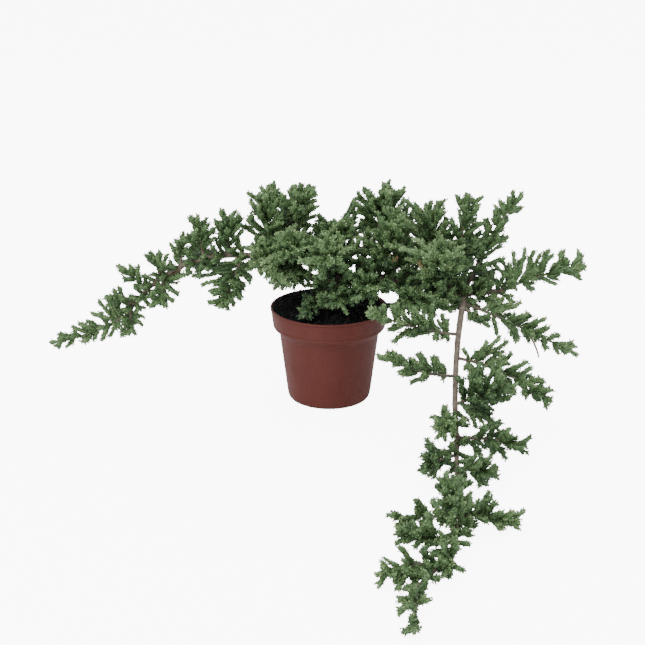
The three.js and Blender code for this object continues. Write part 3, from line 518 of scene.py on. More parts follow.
# %% Tips seen in the photograph
TIPS_SEEN = {
    "left_tip": [
        (131, 302), (122, 294), (113, 294), (108, 303), (97, 298), (89, 312), (80, 324), (70, 326),
        (65, 334), (50, 343), (70, 344), (92, 342), (110, 338), (122, 329), (118, 312), (106, 318),
        (97, 325), (88, 331), (112, 326), (104, 335),
    ],
    "left_tip_upper": [(113, 300), (104, 306)],
    "left_tip_lower": [(146, 318), (140, 325), (126, 335), (133, 329)],
    "left_long_upper": [
        (146, 276), (137, 270), (128, 269), (120, 268), (124, 280), (133, 287), (152, 284),
    ],
    "left_mid_upper": [(153, 256), (160, 262), (168, 252), (158, 276), (172, 262)],
    "left_mid_lower": [
        (159, 304), (172, 291), (150, 309), (145, 300), (180, 284), (183, 275), (194, 272), (166, 290),
    ],
    "left_tuft": [(174, 239), (179, 248), (172, 249), (184, 255)],
    "left_crest": [(182, 236), (195, 220), (201, 220), (190, 246), (205, 240), (211, 230)],
    "left_tall": [(223, 221), (232, 217), (238, 218), (245, 229), (218, 234), (226, 236), (238, 250)],
    "left_loop": [
        (190, 277), (200, 285), (208, 293), (218, 296), (218, 307), (226, 302), (232, 291), (240, 287),
        (252, 281), (205, 262), (196, 268), (212, 272), (236, 272), (244, 262),
    ],
    "crown_left_outer": [
        (250, 222), (247, 246), (259, 206), (264, 190), (275, 187), (258, 216), (250, 258),
    ],
    "crown_left_top": [
        (293, 183), (303, 180), (312, 186), (315, 203), (317, 214), (289, 190), (282, 198), (313, 224),
    ],
    "crown_centre": [(325, 223), (333, 219), (342, 220), (314, 222), (314, 232), (338, 232), (328, 240)],
    "crown_front": [
        (304, 264), (315, 270), (318, 279), (326, 272), (296, 262), (346, 258), (352, 265), (340, 263),
    ],
    "crown_left_front": [(275, 285), (285, 284), (292, 289), (300, 284), (307, 288), (268, 280)],
    "crown_right_mid": [
        (354, 236), (361, 242), (372, 234), (349, 259), (357, 257), (354, 267), (366, 250), (372, 257),
        (380, 248), (386, 270), (366, 264), (376, 268), (345, 246), (390, 240), (382, 230),
    ],
    "right_front": [
        (401, 267), (416, 272), (412, 237), (408, 252), (425, 262), (446, 272), (435, 250), (446, 282),
        (454, 262), (396, 278), (410, 284), (432, 286), (422, 246), (398, 248), (404, 258),
    ],
    "crown_right_top": [
        (359, 218), (362, 211), (356, 208), (371, 195), (385, 183), (391, 184), (396, 191), (361, 204),
        (358, 222), (347, 229), (363, 213),
    ],
    "crown_right_outer": [
        (412, 226), (420, 222), (435, 228), (428, 236), (402, 214), (402, 197), (414, 202), (423, 212),
        (437, 209), (446, 206), (409, 211), (430, 215),
    ],
    "right_upper": [
        (459, 200), (470, 194), (480, 208), (466, 212), (450, 222), (442, 225), (478, 217), (486, 221),
        (470, 224), (463, 231),
    ],
    "right_upper_outer": [
        (496, 208), (507, 204), (515, 199), (524, 195), (505, 228), (492, 238), (488, 247),
    ],
    "right_far": [
        (492, 263), (503, 268), (513, 250), (526, 246), (520, 258), (533, 259), (541, 252), (549, 248),
        (556, 262), (570, 260), (577, 263), (587, 266), (579, 274), (558, 278), (535, 281), (518, 291),
        (507, 284), (545, 277), (500, 257), (508, 261), (515, 268), (524, 275),
    ],
    "right_lower": [
        (513, 302), (523, 302), (531, 313), (548, 318), (540, 320), (548, 326), (536, 331), (520, 341),
        (527, 338), (565, 350), (577, 355), (556, 347), (545, 343), (505, 308), (490, 306), (521, 322),
        (529, 326), (537, 343), (512, 326), (567, 353),
    ],
    "right_small": [(484, 322), (492, 319), (478, 314)],
    "right_fan": [(393, 287), (399, 296), (403, 303), (408, 298)],
    "right_fan_outer": [(412, 308), (422, 306), (430, 311), (438, 308), (447, 311)],
    "crown_front_low": [(348, 303), (340, 300), (333, 301), (322, 299), (315, 296)],
    "crown_right_front": [(381, 288), (372, 296), (362, 292), (376, 282)],
    "crown_droop": [(306, 318), (300, 312), (310, 292), (303, 302)],
    "crown_left_low": [
        (272, 291), (267, 284), (284, 288), (262, 272), (278, 283), (290, 284), (259, 265), (268, 277),
        (297, 286), (275, 288), (283, 278), (292, 276), (303, 274), (310, 280), (287, 270), (298, 268),
        (265, 268), (272, 270), (280, 291), (293, 291), (304, 284), (312, 288), (270, 284),
    ],
    "trail_left_upper": [
        (366, 315), (375, 313), (380, 324), (390, 343), (398, 336), (396, 318), (402, 313), (414, 308),
        (420, 314), (425, 334), (410, 332), (442, 312), (440, 340), (448, 342), (386, 330), (432, 326),
        (448, 317), (436, 318), (428, 318),
    ],
    "trail_left_mid": [
        (383, 356), (391, 366), (398, 358), (408, 357), (419, 352), (430, 362), (436, 356), (443, 363),
        (440, 380), (409, 384), (400, 374), (424, 374),
    ],
    "trail_right_upper": [
        (463, 347), (472, 358), (489, 341), (494, 350), (502, 335), (510, 341), (505, 356), (530, 361),
        (522, 372), (537, 379), (545, 384), (551, 400), (547, 409), (527, 400), (510, 394), (470, 382),
        (500, 372), (484, 366), (463, 372), (518, 386),
    ],
    "trail_right_bushy": [
        (467, 387), (478, 381), (487, 383), (500, 388), (503, 399), (496, 411), (485, 424), (497, 424),
        (501, 432), (478, 429), (470, 412), (490, 400), (464, 400),
    ],
    "trail_ball": [(434, 432), (440, 421), (450, 417), (446, 443), (436, 441), (456, 428), (455, 440)],
    "trail_right_mid": [
        (468, 436), (480, 433), (493, 441), (509, 438), (527, 444), (520, 451), (508, 461), (480, 454),
        (467, 446), (498, 452), (488, 450), (502, 446), (512, 450),
    ],
    "trail_left_small": [
        (424, 443), (422, 454), (421, 467), (428, 477), (441, 450), (437, 470), (430, 462),
    ],
    "trail_right_small": [
        (468, 478), (478, 455), (490, 482), (483, 487), (494, 470), (499, 479), (472, 464),
    ],
    "trail_front": [(447, 471), (441, 481), (443, 493), (440, 503), (452, 480), (450, 508), (455, 500)],
    "trail_right_low": [
        (471, 503), (481, 508), (492, 509), (505, 512), (519, 521), (506, 530), (476, 527), (463, 536),
        (490, 524), (470, 517),
    ],
    "trail_left_low": [
        (413, 509), (420, 517), (396, 519), (402, 527), (418, 530), (428, 515), (438, 527), (432, 509),
    ],
    "trail_left_end": [
        (399, 535), (402, 543), (419, 553), (408, 530), (432, 536), (425, 546), (412, 548),
    ],
    "leader_right": [(451, 566), (448, 573), (437, 574), (440, 562)],
    "leader_left": [
        (382, 573), (399, 570), (392, 583), (397, 592), (410, 580), (426, 580), (388, 577), (414, 572),
    ],
    "leader": [
        (414, 590), (424, 605), (397, 616), (408, 610), (412, 628), (416, 634), (410, 600), (418, 596),
    ],
}
SEEN_LEAN = math.radians(40)
SEEN_GIRTH = 2.9
TIP_NEEDLES = 2.5  # how far the needles reach past the end of a twig
STEM_PLACES = np.linspace(0.12, 0.95, 24)
ODD_ANGLE, LONG_TWIG = 0.5, 18  # radians and millimetres that count the same against a place
SEEN_DEPTH_DRAW, SEEN_BOW, BOX_INSET = 0.3, 0.12, 1


def seen_twig(mass, tip_pixel, draw):
    """A twig from the stem to a pixel. Its root has the least sum of odd angle and length."""
    roots, along = mass["path"].at(STEM_PLACES), mass["path"].along(STEM_PLACES)
    depths = (roots - CAMERA_PLACE) @ CAMERA_FORWARD
    tips = np.array([behind_pixel(tip_pixel, depth) for depth in depths])
    length = np.linalg.norm(tips - roots, axis=1)
    lean = np.arccos(np.clip((unit(tips - roots) * along).sum(1), -1, 1))
    best = (np.abs(lean - SEEN_LEAN) / ODD_ANGLE + length / LONG_TWIG).argmin()
    tip = behind_pixel(tip_pixel, depths[best] + draw(-SEEN_DEPTH_DRAW, SEEN_DEPTH_DRAW) * length[best])
    tip = np.clip(tip - unit(tip - roots[best]) * TIP_NEEDLES, BOX_LOW + BOX_INSET, BOX_HIGH - BOX_INSET)
    middle = roots[best] + (tip - roots[best]) * 0.5 + along[best] * SEEN_BOW * length[best]
    return np.array([roots[best], middle, tip])


BARE_TWIGS_SEEN = [
    ("right_lower", (540, 360)), ("crown_left_low", (284, 292)), ("left_mid_lower", (190, 262)),
]
for seed, mass in enumerate(masses, 201):
    draw, own = seeded(seed), mass["plan"]["name"]
    mass["seen"] = [seen_twig(mass, pixel, draw) for pixel in TIPS_SEEN.get(own, [])]
    mass["bare"] = [seen_twig(mass, pixel, draw) for name, pixel in BARE_TWIGS_SEEN if name == own]
print("twigs seen in the photograph:", sum(len(mass["seen"]) for mass in masses))

# %% [markdown]
# Where the photograph shows sky through the plant or beside it, nothing may grow. Each such gap is a circle
# in the picture, with its middle and radius in pixels, and a twig, finger or spur whose tip falls in one is
# left out.

# %% Gaps that show sky
SKY_GAPS = {
    "left bough": [
        (221, 267, 7), (173, 284, 4), (236, 233, 4), (247, 236, 7), (176, 228, 8), (187, 226, 6),
        (153, 246, 6), (124, 261, 5),
    ],
    "crown valley": [(334, 204, 15), (325, 210, 7), (344, 208, 8), (333, 186, 18), (347, 194, 8)],
    "right bough": [(452, 207, 6), (495, 251, 7), (522, 228, 16), (548, 296, 14), (393, 298, 6)],
    "upper trail": [
        (474, 334, 9), (436, 322, 5), (405, 349, 7), (428, 347, 7), (492, 378, 5), (440, 398, 9),
        (426, 393, 6),
    ],
    "middle trail": [
        (466, 432, 4), (448, 452, 4), (425, 492, 10), (500, 496, 8), (518, 428, 8), (413, 459, 6),
    ],
    "lower trail": [
        (437, 524, 4), (400, 502, 7), (515, 506, 5), (464, 557, 9), (444, 590, 10), (434, 607, 7),
        (428, 623, 7), (393, 553, 8),
    ],
}
sky = np.array([gap for row in SKY_GAPS.values() for gap in row], float)


def under_sky(points):
    """Whether each point falls in any gap: nearer to its middle, in the picture, than its radius."""
    apart = np.linalg.norm(in_picture(points)[..., None, :] - sky[:, :2], axis=-1)
    return (apart < sky[:, 2]).any(-1)


print("gaps:", len(sky))

# %% [markdown]
# ## Twigs on the boughs themselves
# Between the masses the boughs carry short twigs of their own, which hide most of the bark. The bare
# stretches are those that the photograph shows: one on the left bough, and the upper part of the trailing
# bough.

# %% Short twigs along the limbs
LIMB_TWIG_FIELDS = ("limb", "start", "end", "count", "length", "girth", "tint", "mass")
# tint: as for the masses, partly painted shade where a stretch of limb lies deep inside or low
LIMB_TWIGS = [
    ("trunk", 0.62, 1.0, 12, 22, 5.5, "deep", "crown_centre"),
    ("crown_left_bough", 0.25, 1.0, 12, 21, 5.5, "middle", "crown_left_top"),
    ("crown_right_bough", 0.25, 1.0, 12, 21, 5.5, "middle", "crown_right_top"),
    ("back_bough", 0.25, 1.0, 10, 20, 5.5, "deep", "crown_back"),
    ("left_bough", 0.10, 0.40, 30, 20, 5.2, "middle", "left_loop"),
    ("left_bough", 0.40, 0.62, 22, 16, 4.8, "middle", "left_crest"),
    ("left_bough", 0.66, 1.0, 34, 12, 4.4, "middle", "left_mid_upper"),
    ("right_bough", 0.12, 1.0, 70, 22, 5.4, "middle", "right_front"),
    ("trailing_bough", 0.0, 0.1, 5, 14, 5.0, "middle", "right_small"),
    ("trailing_bough", 0.80, 1.0, 8, 11, 4.6, "deep", "trail_ball"),
    ("trailing_bough_end", 0.0, 0.3, 14, 12, 4.6, "deep", "trail_left_small"),
    ("trailing_bough_end", 0.3, 1.0, 44, 12, 4.8, "middle", "trail_front"),
]
LIMB_TWIG_SPREAD = (48, 74)  # degrees
LIMB_TWIG_DRAW, LIMB_TWIG_LIFT, LIMB_TWIG_ROOM = (0.7, 1.15), 0.2, 0.7


def limb_twigs(row, draw):
    """Twigs in a spiral along a limb. One that would meet the pot, the soil or the ground is left out."""
    path, found, turn = limbs[row["limb"]]["path"], [], draw(0, FULL_TURN)
    for i in range(row["count"]):
        share = row["start"] + (row["end"] - row["start"]) * (i + 0.5) / row["count"]
        length, spread = row["length"] * draw(*LIMB_TWIG_DRAW), math.radians(draw(*LIMB_TWIG_SPREAD))
        for _ in range(SHOOT_TURNS):
            aim = twig_aim(path, share, turn, spread, LIMB_TWIG_LIFT)
            points = shoot_points(path.at(share), aim, length, LIMB_TWIG_LIFT)
            turn += GOLDEN_ANGLE
            chain = shoot_chain(points, LIMB_TWIG_ROOM * row["girth"])
            if (room_round_pot(chain[:, 3:6], chain[:, 7]) > GAP).all():
                found.append(points)
                break
    return np.array(found)


limb_rows = [dict(zip(LIMB_TWIG_FIELDS, row)) for row in LIMB_TWIGS]
for seed, row in enumerate(limb_rows, 101):
    row["twigs"] = limb_twigs(row, seeded(seed))
print("twigs on limbs:", sum(len(row["twigs"]) for row in limb_rows))

# %% [markdown]
# ## From twigs to sprays
# A real juniper twig is a little spray: short side shoots stand off it all round, closer and shorter
# towards its tip. They could be copies of one modelled spray, but no two are alike, so all of them are
# worked out together, as arrays of three points each: root, middle and tip. Each also gets a shade from 0,
# deep inside, to 1, fresh growth in the light, which later picks its colour. The shade is partly the lighter
# green of fresh growth and partly painted light and painted shade: darker deep inside, lighter out in the
# light and on shoots that face up.

# %% Side shoots as arrays
LEAN_DRAW, SIDE_REACH_DRAW, TURN_DRAW, PLACE_DRAW = (0.75, 1.2), (0.75, 1.1), (-0.35, 0.35), (0.2, 0.8)
ANY_TURN = 6.28
SIDE_ROOT_REACH, SIDE_TAPER, SIDE_BOW = 1.15, 0.5, 0.3
# painted light: a side shoot is lighter the more it faces up, and lighter further out on its parent, partly
# as fresh growth and partly as painted light
LIGHTER_OUTWARDS, PAINTED_LIGHT_ON_TOP, SIDE_SHADE_DRAW = 0.10, 0.10, 0.03


def quadratic(points, share):
    """Point and direction at a share of each three-point curve: the blend of its blends, and its slope."""
    a, b, c = points[..., 0, :], points[..., 1, :], points[..., 2, :]
    s = share[..., None]
    place = a * (1 - s) ** 2 + b * 2 * s * (1 - s) + c * s**2
    return place, unit((b - a) * (1 - s) + (c - b) * s)


def chord_lengths(points):
    """Length of each three-point curve, as the sum of its two chords."""
    return np.linalg.norm(np.diff(points, axis=1), axis=2).sum(1)


def ring_axes(along):
    """Two directions square to each direction of growth, from whichever world axis is least along it."""
    reference = np.eye(3)[np.abs(along).argmin(-1)]
    side = unit(np.cross(along, reference))
    return side, np.cross(along, side)


def numbered(count):
    """For every child of every parent: the parent's number, and the child's own number on that parent."""
    parent = np.repeat(np.arange(len(count)), count)
    return parent, np.arange(count.sum()) - np.repeat(count.cumsum() - count, count)


def spiral(points, step, first, last):
    """Places in a spiral along each parent: its index, share of its length, place, direction and way out."""
    count = np.maximum(1, (chord_lengths(points) * (last - first) / step).astype(int))
    parent, order = numbered(count)
    share = first + (last - first) * (order + rng.uniform(*PLACE_DRAW, order.size)) / count[parent]
    place, along = quadratic(points[parent], share)
    turn = order * GOLDEN_ANGLE + rng.uniform(*TURN_DRAW, order.size)
    turn += rng.uniform(0, ANY_TURN, len(points))[parent]
    return parent, share, place, along, swing(*ring_axes(along), turn)


def side_shoots(points, shade, owner, size, step, spread, first=0.14, last=0.94, lift=0.2):
    """Shoots that lean out from each parent by the spread, longest low down, and bend back along it."""
    parent, share, place, along, out = spiral(points, step, first, last)
    lean = (spread * rng.uniform(*LEAN_DRAW, share.size))[:, None]
    aim = unit(along * np.cos(lean) + out * np.sin(lean) + [0, 0, lift])
    taper = SIDE_ROOT_REACH - SIDE_TAPER * share
    reach = (size[parent] * taper * rng.uniform(*SIDE_REACH_DRAW, share.size))[:, None]
    tip = place + unit(aim + SIDE_BOW * along) * reach
    # painted light on shoots that face up; lighter further out, partly fresh growth and partly painted light
    lit = shade[parent] + LIGHTER_OUTWARDS * (share - 0.5) + PAINTED_LIGHT_ON_TOP * out[:, 2]
    lit += rng.normal(0, SIDE_SHADE_DRAW, share.size)
    made, seen_open = np.stack([place, place + aim * 0.5 * reach, tip], axis=1), under_sky(tip)
    return made[~seen_open], lit[~seen_open], owner[parent][~seen_open]


def stem_stretch(mass, start, end):
    """The part of a stem between two shares of its length, as a three-point curve of its own."""
    t0, t1 = mass["path"].parameter(np.array([start, end]))
    a, b, c = mass["path"].points
    corner = a * (1 - t0) * (1 - t1) + b * (t0 * (1 - t1) + t1 * (1 - t0)) + c * t0 * t1
    return np.array([bezier([a, b, c], t0), corner, bezier([a, b, c], t1)])


print("a straight twig of 10 mm measures", chord_lengths(np.array([[[0.0, 0, 0], [0, 0, 5], [0, 0, 10]]]))[0])

# %% [markdown]
# ## All the twigs of the plant
# Each mass brings the tip of its stem, the twigs seen in the photograph and those of the rule. The limbs
# bring theirs. Inner twigs then fill the space round the stems, closer in the crown, which lets no light
# through in the photograph, than on the thin boughs. Fingers stand on the twigs, and spurs on both.

# %% Twigs, fingers and spurs
# base shade of each tint: the darker ones are partly painted shade on masses and limbs low down or at the
# back, the lighter ones partly painted light
TINT_SHADE = {"deep": 0.42, "middle": 0.53, "bright": 0.55}
# tips, twigs seen in the outline and twigs further out are lighter, partly fresh growth and partly painted
# light; the inner fill gets painted shade
TIP_LIGHTER, SEEN_LIGHTER, OUTER_LIGHTER, FILL_PAINTED_SHADE, TWIG_SHADE_DRAW = 0.12, 0.10, 0.14, 0.12, 0.06
FILL_STEP = {"crown": 5.0, "right": 6.5, "left": 10.0, "trail": 12.0}
FILL_SPREAD, FILL_REACH, FILL_GIRTH, FILL_PART = math.radians(58), 15.0, 3.6, (0.3, 0.9)
FILL_ROOM, FILL_MARGIN = 2.0, 3
FINGER_STEP, FINGER_SPREAD, FINGER_REACH = 5.4, math.radians(38), 1.5  # reach as a share of the twig's girth
LONGEST_FINGER = 0.62  # as a share of the twig's length
SPUR_STEP, SPUR_SPREAD, SPUR_LENGTH, SPUR_PART, SPUR_LIFT = 2.5, math.radians(44), 4.0, (0.10, 0.99), 0.1
batches = []


def add_twigs(points, girth, shade, owner):
    """Keeps a batch of twigs with their girths, shades and the number of the mass that each belongs to."""
    points = np.reshape(points, (-1, 3, 3))
    batches.append((points, *(np.broadcast_to(value, len(points)) for value in (girth, shade, owner))))


for index, mass in enumerate(masses):
    plan, base = mass["plan"], TINT_SHADE[mass["plan"]["tint"]]
    add_twigs(stem_stretch(mass, mass["tip_from"], 1.0), TIP_GIRTH * plan["girth"], base + TIP_LIGHTER, index)
    draws = rng.normal(0, TWIG_SHADE_DRAW, len(mass["seen"]))
    add_twigs(mass["seen"], SEEN_GIRTH, base + SEEN_LIGHTER + draws, index)
    kept = [twig for twig in mass["twigs"] if not under_sky(twig[0][2])]
    if kept:
        points, girth, share = (np.array(column) for column in zip(*kept))
        draws = rng.normal(0, TWIG_SHADE_DRAW, len(kept))
        add_twigs(points, girth, base + OUTER_LIGHTER * (share - 0.5) + draws, index)
mass_names = [plan["name"] for plan in plans]
for row in limb_rows:
    kept = row["twigs"][~under_sky(row["twigs"][:, 2])]
    draws = rng.normal(0, TWIG_SHADE_DRAW, len(kept))
    add_twigs(kept, row["girth"], TINT_SHADE[row["tint"]] + draws, mass_names.index(row["mass"]))
stems = np.array([stem_stretch(mass, 0.0, 1.0) for mass in masses])
# inner fill twigs: painted shade, darker than their mass as they lie deep inside
for word, step in FILL_STEP.items():
    chosen = np.flatnonzero([name.startswith(word) for name in mass_names])
    base = np.array([TINT_SHADE[plans[k]["tint"]] - FILL_PAINTED_SHADE for k in chosen])
    reach = np.full(len(chosen), FILL_REACH)
    fill, shade, owner = side_shoots(stems[chosen], base, chosen, reach, step, FILL_SPREAD, *FILL_PART)
    within = (fill > BOX_LOW + FILL_MARGIN) & (fill < BOX_HIGH - FILL_MARGIN)
    free = (room_round_pot(fill, FILL_ROOM) > 0).all(1) & within.all((1, 2))
    add_twigs(fill[free], FILL_GIRTH, shade[free], owner[free])
twigs, twig_girth, twig_shade, twig_owner = (np.concatenate(column) for column in zip(*batches))
twig_length = chord_lengths(twigs)
finger_size = np.minimum(FINGER_REACH * twig_girth, LONGEST_FINGER * twig_length)
fingers, finger_shade, finger_owner = side_shoots(
    twigs, twig_shade, twig_owner, finger_size, FINGER_STEP, FINGER_SPREAD
)
shoots, shoot_shade = np.concatenate([twigs, fingers]), np.concatenate([twig_shade, finger_shade])
shoot_owner = np.concatenate([twig_owner, finger_owner])
spur_size = np.full(len(shoots), SPUR_LENGTH)
spurs, spur_shade, spur_owner = side_shoots(
    shoots, shoot_shade, shoot_owner, spur_size, SPUR_STEP, SPUR_SPREAD, *SPUR_PART, SPUR_LIFT
)
print("twigs and tips:", len(twigs), "fingers:", len(fingers), "spurs:", len(spurs))

# %% [markdown]
# ## Materials
# A needle is a few faces of one plain green, and the greens are dealt out by spray, so that the colour
# stays where it is when the model is exported. The things that are larger than a needle get noise in their
# colour, roughness and height. Two effects are shared, so each is a node group: mottling, which blends two
# colours by noise, and grain, which gives a bumped normal. Both start from one noise, which reads object
# coordinates and can be stretched along an axis. Every object here sits at the origin, so the pattern stays
# where it is.

# %% Shared node groups
COLOUR, NUMBER, VECTOR = "NodeSocketColor", "NodeSocketFloat", "NodeSocketVector"


def new_group(name, inputs, outputs):
    """An empty shader node group with named sockets, and its input and output nodes."""
    group = bpy.data.node_groups.new(name, "ShaderNodeTree")
    for socket, kind, default in inputs:
        made = group.interface.new_socket(name=socket, in_out="INPUT", socket_type=kind)
        made.default_value = default
    for socket, kind in outputs:
        group.interface.new_socket(name=socket, in_out="OUTPUT", socket_type=kind)
    return group, group.nodes.new("NodeGroupInput"), group.nodes.new("NodeGroupOutput")


def give(node, values):
    """Sets inputs of a node by their names."""
    for name, value in values.items():
        node.inputs[name].default_value = value
    return node


def link(tree, *pairs):
    """Joins each output to the input beside it."""
    for output, entry in pairs:
        tree.links.new(output, entry)


def stretched_noise(group, inside, values):
    """A noise node that reads object coordinates times the group's Stretch, at the group's Scale."""
    place = group.nodes.new("ShaderNodeTexCoord")
    stretch = group.nodes.new("ShaderNodeVectorMath")
    stretch.operation = "MULTIPLY"
    rough = give(group.nodes.new("ShaderNodeTexNoise"), values)
    link(
        group,
        (place.outputs["Object"], stretch.inputs[0]),
        (inside.outputs["Stretch"], stretch.inputs[1]),
        (stretch.outputs[0], rough.inputs["Vector"]),
        (inside.outputs["Scale"], rough.inputs["Scale"]),
    )
    return rough.outputs["Fac"]


def mottling_group():
    """Two colours blended by noise in object coordinates. The mask comes out too."""
    group, inside, out = new_group(
        "mottling",
        [
            ("Colour", COLOUR, (0.5, 0.5, 0.5, 1)),
            ("Other Colour", COLOUR, (0.2, 0.2, 0.2, 1)),
            ("Scale", NUMBER, 200.0),
            ("Stretch", VECTOR, (1, 1, 1)),
        ],
        [("Colour", COLOUR), ("Mask", NUMBER)],
    )
    rough = stretched_noise(group, inside, {"Detail": 5, "Roughness": 0.65})
    spread = give(group.nodes.new("ShaderNodeMapRange"), {"From Min": 0.32, "From Max": 0.68})
    blend = group.nodes.new("ShaderNodeMix")
    blend.data_type = "RGBA"  # its colours are inputs 6 and 7 and output 2
    link(
        group,
        (rough, spread.inputs["Value"]),
        (spread.outputs["Result"], blend.inputs["Factor"]),
        (inside.outputs["Colour"], blend.inputs[6]),
        (inside.outputs["Other Colour"], blend.inputs[7]),
        (blend.outputs[2], out.inputs["Colour"]),
        (spread.outputs["Result"], out.inputs["Mask"]),
    )
    return group


def grain_group():
    """A normal bumped by noise in object coordinates, with its scale, stretch and depth given."""
    group, inside, out = new_group(
        "grain",
        [("Scale", NUMBER, 400.0), ("Stretch", VECTOR, (1, 1, 1)), ("Depth", NUMBER, 0.0003)],
        [("Normal", VECTOR)],
    )
    rough = stretched_noise(group, inside, {"Detail": 4})
    bump = give(group.nodes.new("ShaderNodeBump"), {"Strength": 0.9})
    link(
        group,
        (rough, bump.inputs["Height"]),
        (inside.outputs["Depth"], bump.inputs["Distance"]),
        (bump.outputs["Normal"], out.inputs["Normal"]),
    )
    return group


MOTTLING, GRAIN = mottling_group(), grain_group()
print("groups:", [group.name for group in bpy.data.node_groups])


# %% Finishes of the larger things
def new_material(name, values):
    """A material with its shader, which gets the values that are the same all over the surface."""
    material = bpy.data.materials.new(name)
    material.use_nodes = True
    return material, give(material.node_tree.nodes["Principled BSDF"], values)


def finish(name, colour, other, scale, stretch, roughness, grain_scale, depth, specular):
    """A rough or satin surface: mottled colour, roughness that follows the mottling, and grain."""
    material, shader = new_material(name, {"Specular IOR Level": specular})
    tree = material.node_tree
    mottling, grain = (tree.nodes.new("ShaderNodeGroup") for _ in range(2))
    mottling.node_tree, grain.node_tree = MOTTLING, GRAIN
    give(mottling, {"Colour": (*colour, 1), "Other Colour": (*other, 1), "Scale": scale, "Stretch": stretch})
    give(grain, {"Scale": grain_scale, "Stretch": stretch, "Depth": depth})
    rough = give(tree.nodes.new("ShaderNodeMapRange"), dict(zip(("To Min", "To Max"), roughness)))
    link(
        tree,
        (mottling.outputs["Colour"], shader.inputs["Base Color"]),
        (mottling.outputs["Mask"], rough.inputs["Value"]),
        (rough.outputs["Result"], shader.inputs["Roughness"]),
        (grain.outputs["Normal"], shader.inputs["Normal"]),
    )
    return material


POT_PLASTIC = finish(
    "terracotta_plastic", (0.094, 0.021, 0.0145), (0.078, 0.0165, 0.0112),
    scale=38, stretch=(1, 1, 0.5), roughness=(0.50, 0.62), grain_scale=900, depth=4e-5, specular=0.2,
)
SOIL_EARTH = finish(
    "moist_soil", (0.003, 0.004, 0.005), (0.011, 0.011, 0.011),
    scale=330, stretch=(1, 1, 1), roughness=(0.85, 1), grain_scale=700, depth=1e-3, specular=0.1,
)
OLD_BARK = finish(
    "old_bark", (0.20, 0.165, 0.13), (0.075, 0.055, 0.042),
    scale=260, stretch=(1, 1, 0.6), roughness=(0.8, 0.95), grain_scale=900, depth=4e-4, specular=0.3,
)
YOUNG_BARK = finish(
    "young_bark", (0.16, 0.105, 0.055), (0.085, 0.06, 0.03),
    scale=300, stretch=(1, 1, 1), roughness=(0.6, 0.8), grain_scale=900, depth=1e-4, specular=0.35,
)
CHIP_BROWN = finish(
    "bark_chip", (0.022, 0.015, 0.011), (0.010, 0.008, 0.007),
    scale=420, stretch=(1, 1, 1), roughness=(0.8, 0.95), grain_scale=900, depth=4e-4, specular=0.25,
)
print("finishes:", [made.name for made in (POT_PLASTIC, SOIL_EARTH, OLD_BARK, YOUNG_BARK, CHIP_BROWN)])

# %% Greens of the needles
# seven greens from dark to light, one to each step of shade, and straw for dead needles: the dark steps are
# partly painted shade and the light ones partly painted light, beside the real lighter green of fresh growth
NEEDLE_TINTS = {
    "shade": ((0.022, 0.044, 0.024), "needles_deep"),
    "deep": ((0.040, 0.078, 0.036), "needles_deep"),
    "blue": ((0.057, 0.104, 0.057), "needles_deep"),
    "middle": ((0.073, 0.133, 0.048), "needles_middle"),
    "fresh": ((0.110, 0.190, 0.076), "needles_middle"),
    "bright": ((0.163, 0.260, 0.108), "needles_bright"),
    "tip": ((0.235, 0.335, 0.150), "needles_bright"),
    "straw": ((0.26, 0.165, 0.075), "bark"),
}
WAXED_LEAF = {"Roughness": 0.5, "Specular IOR Level": 0.4}
GREENS = {
    name: new_material("needle_" + name, WAXED_LEAF | {"Base Color": (*colour, 1)})[0]
    for name, (colour, _) in NEEDLE_TINTS.items()
}
print("greens:", list(GREENS))

# %% [markdown]
# ## Making a mesh from arrays
# Blender's foreach_set takes a flat array and fills a whole mesh at once. A helper does it for every piece:
# points in millimetres, triangles as rows of three indexes, then the calls that hang the piece on the body
# it rides on and hide the solids it stands for. It turns the faces round if the volume they enclose comes
# out negative, so every piece faces outwards.

# %% One helper for every piece
def volume_of(points, faces):
    """Signed volume: a sixth of the sum, over the faces, of the triple product of the corners."""
    a, b, c = points[faces[:, 0]], points[faces[:, 1]], points[faces[:, 2]]
    return (np.cross(a, b) * c).sum() / 6


def make_piece(name, points, faces, material, nodes=(), smooth=True):
    """A mesh object from points and triangles, which rides on the root body."""
    if volume_of(points, faces) < 0:
        faces = faces[:, ::-1]
    mesh = bpy.data.meshes.new(name)
    mesh.vertices.add(len(points))
    mesh.vertices.foreach_set("co", (points * MM).astype(np.float32).ravel())
    mesh.loops.add(faces.size)
    mesh.loops.foreach_set("vertex_index", faces.astype(np.int32).ravel())
    mesh.polygons.add(len(faces))
    mesh.polygons.foreach_set("loop_start", np.arange(0, faces.size, 3, dtype=np.int32))
    mesh.polygons.foreach_set("use_smooth", np.full(len(faces), smooth))
    mesh.materials.append(material)
    mesh.update(calc_edges=True)
    piece = bpy.data.objects.new(name, mesh)
    bpy.context.scene.collection.objects.link(piece)
    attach(piece, "root")
    if nodes:
        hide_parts(*nodes)
    return piece


def repeated_faces(faces, count, points_each):
    """The triangles of many copies of a small shape: the indexes move on by the points of each copy."""
    return (faces + points_each * np.arange(count)[:, None, None]).reshape(-1, 3)


def tube_faces(rows, sides):
    """Triangles of a closed tube: rows of points, then a pole at the start and one at the end."""
    row, side = np.meshgrid(np.arange(rows - 1), np.arange(sides), indexing="ij")
    a, b = row * sides + side, row * sides + (side + 1) % sides
    wall = np.concatenate([np.stack([a, b, b + sides], -1), np.stack([a, b + sides, a + sides], -1)])
    ring = np.arange(sides)
    beyond = (ring + 1) % sides
    first = np.stack([np.full(sides, rows * sides), beyond, ring], -1)
    last_ring = (rows - 1) * sides
    last = np.stack([np.full(sides, rows * sides + 1), last_ring + ring, last_ring + beyond], -1)
    return np.concatenate([wall.reshape(-1, 3), first, last])


print("faces of a tube of 3 rows and 4 sides:", len(tube_faces(3, 4)))

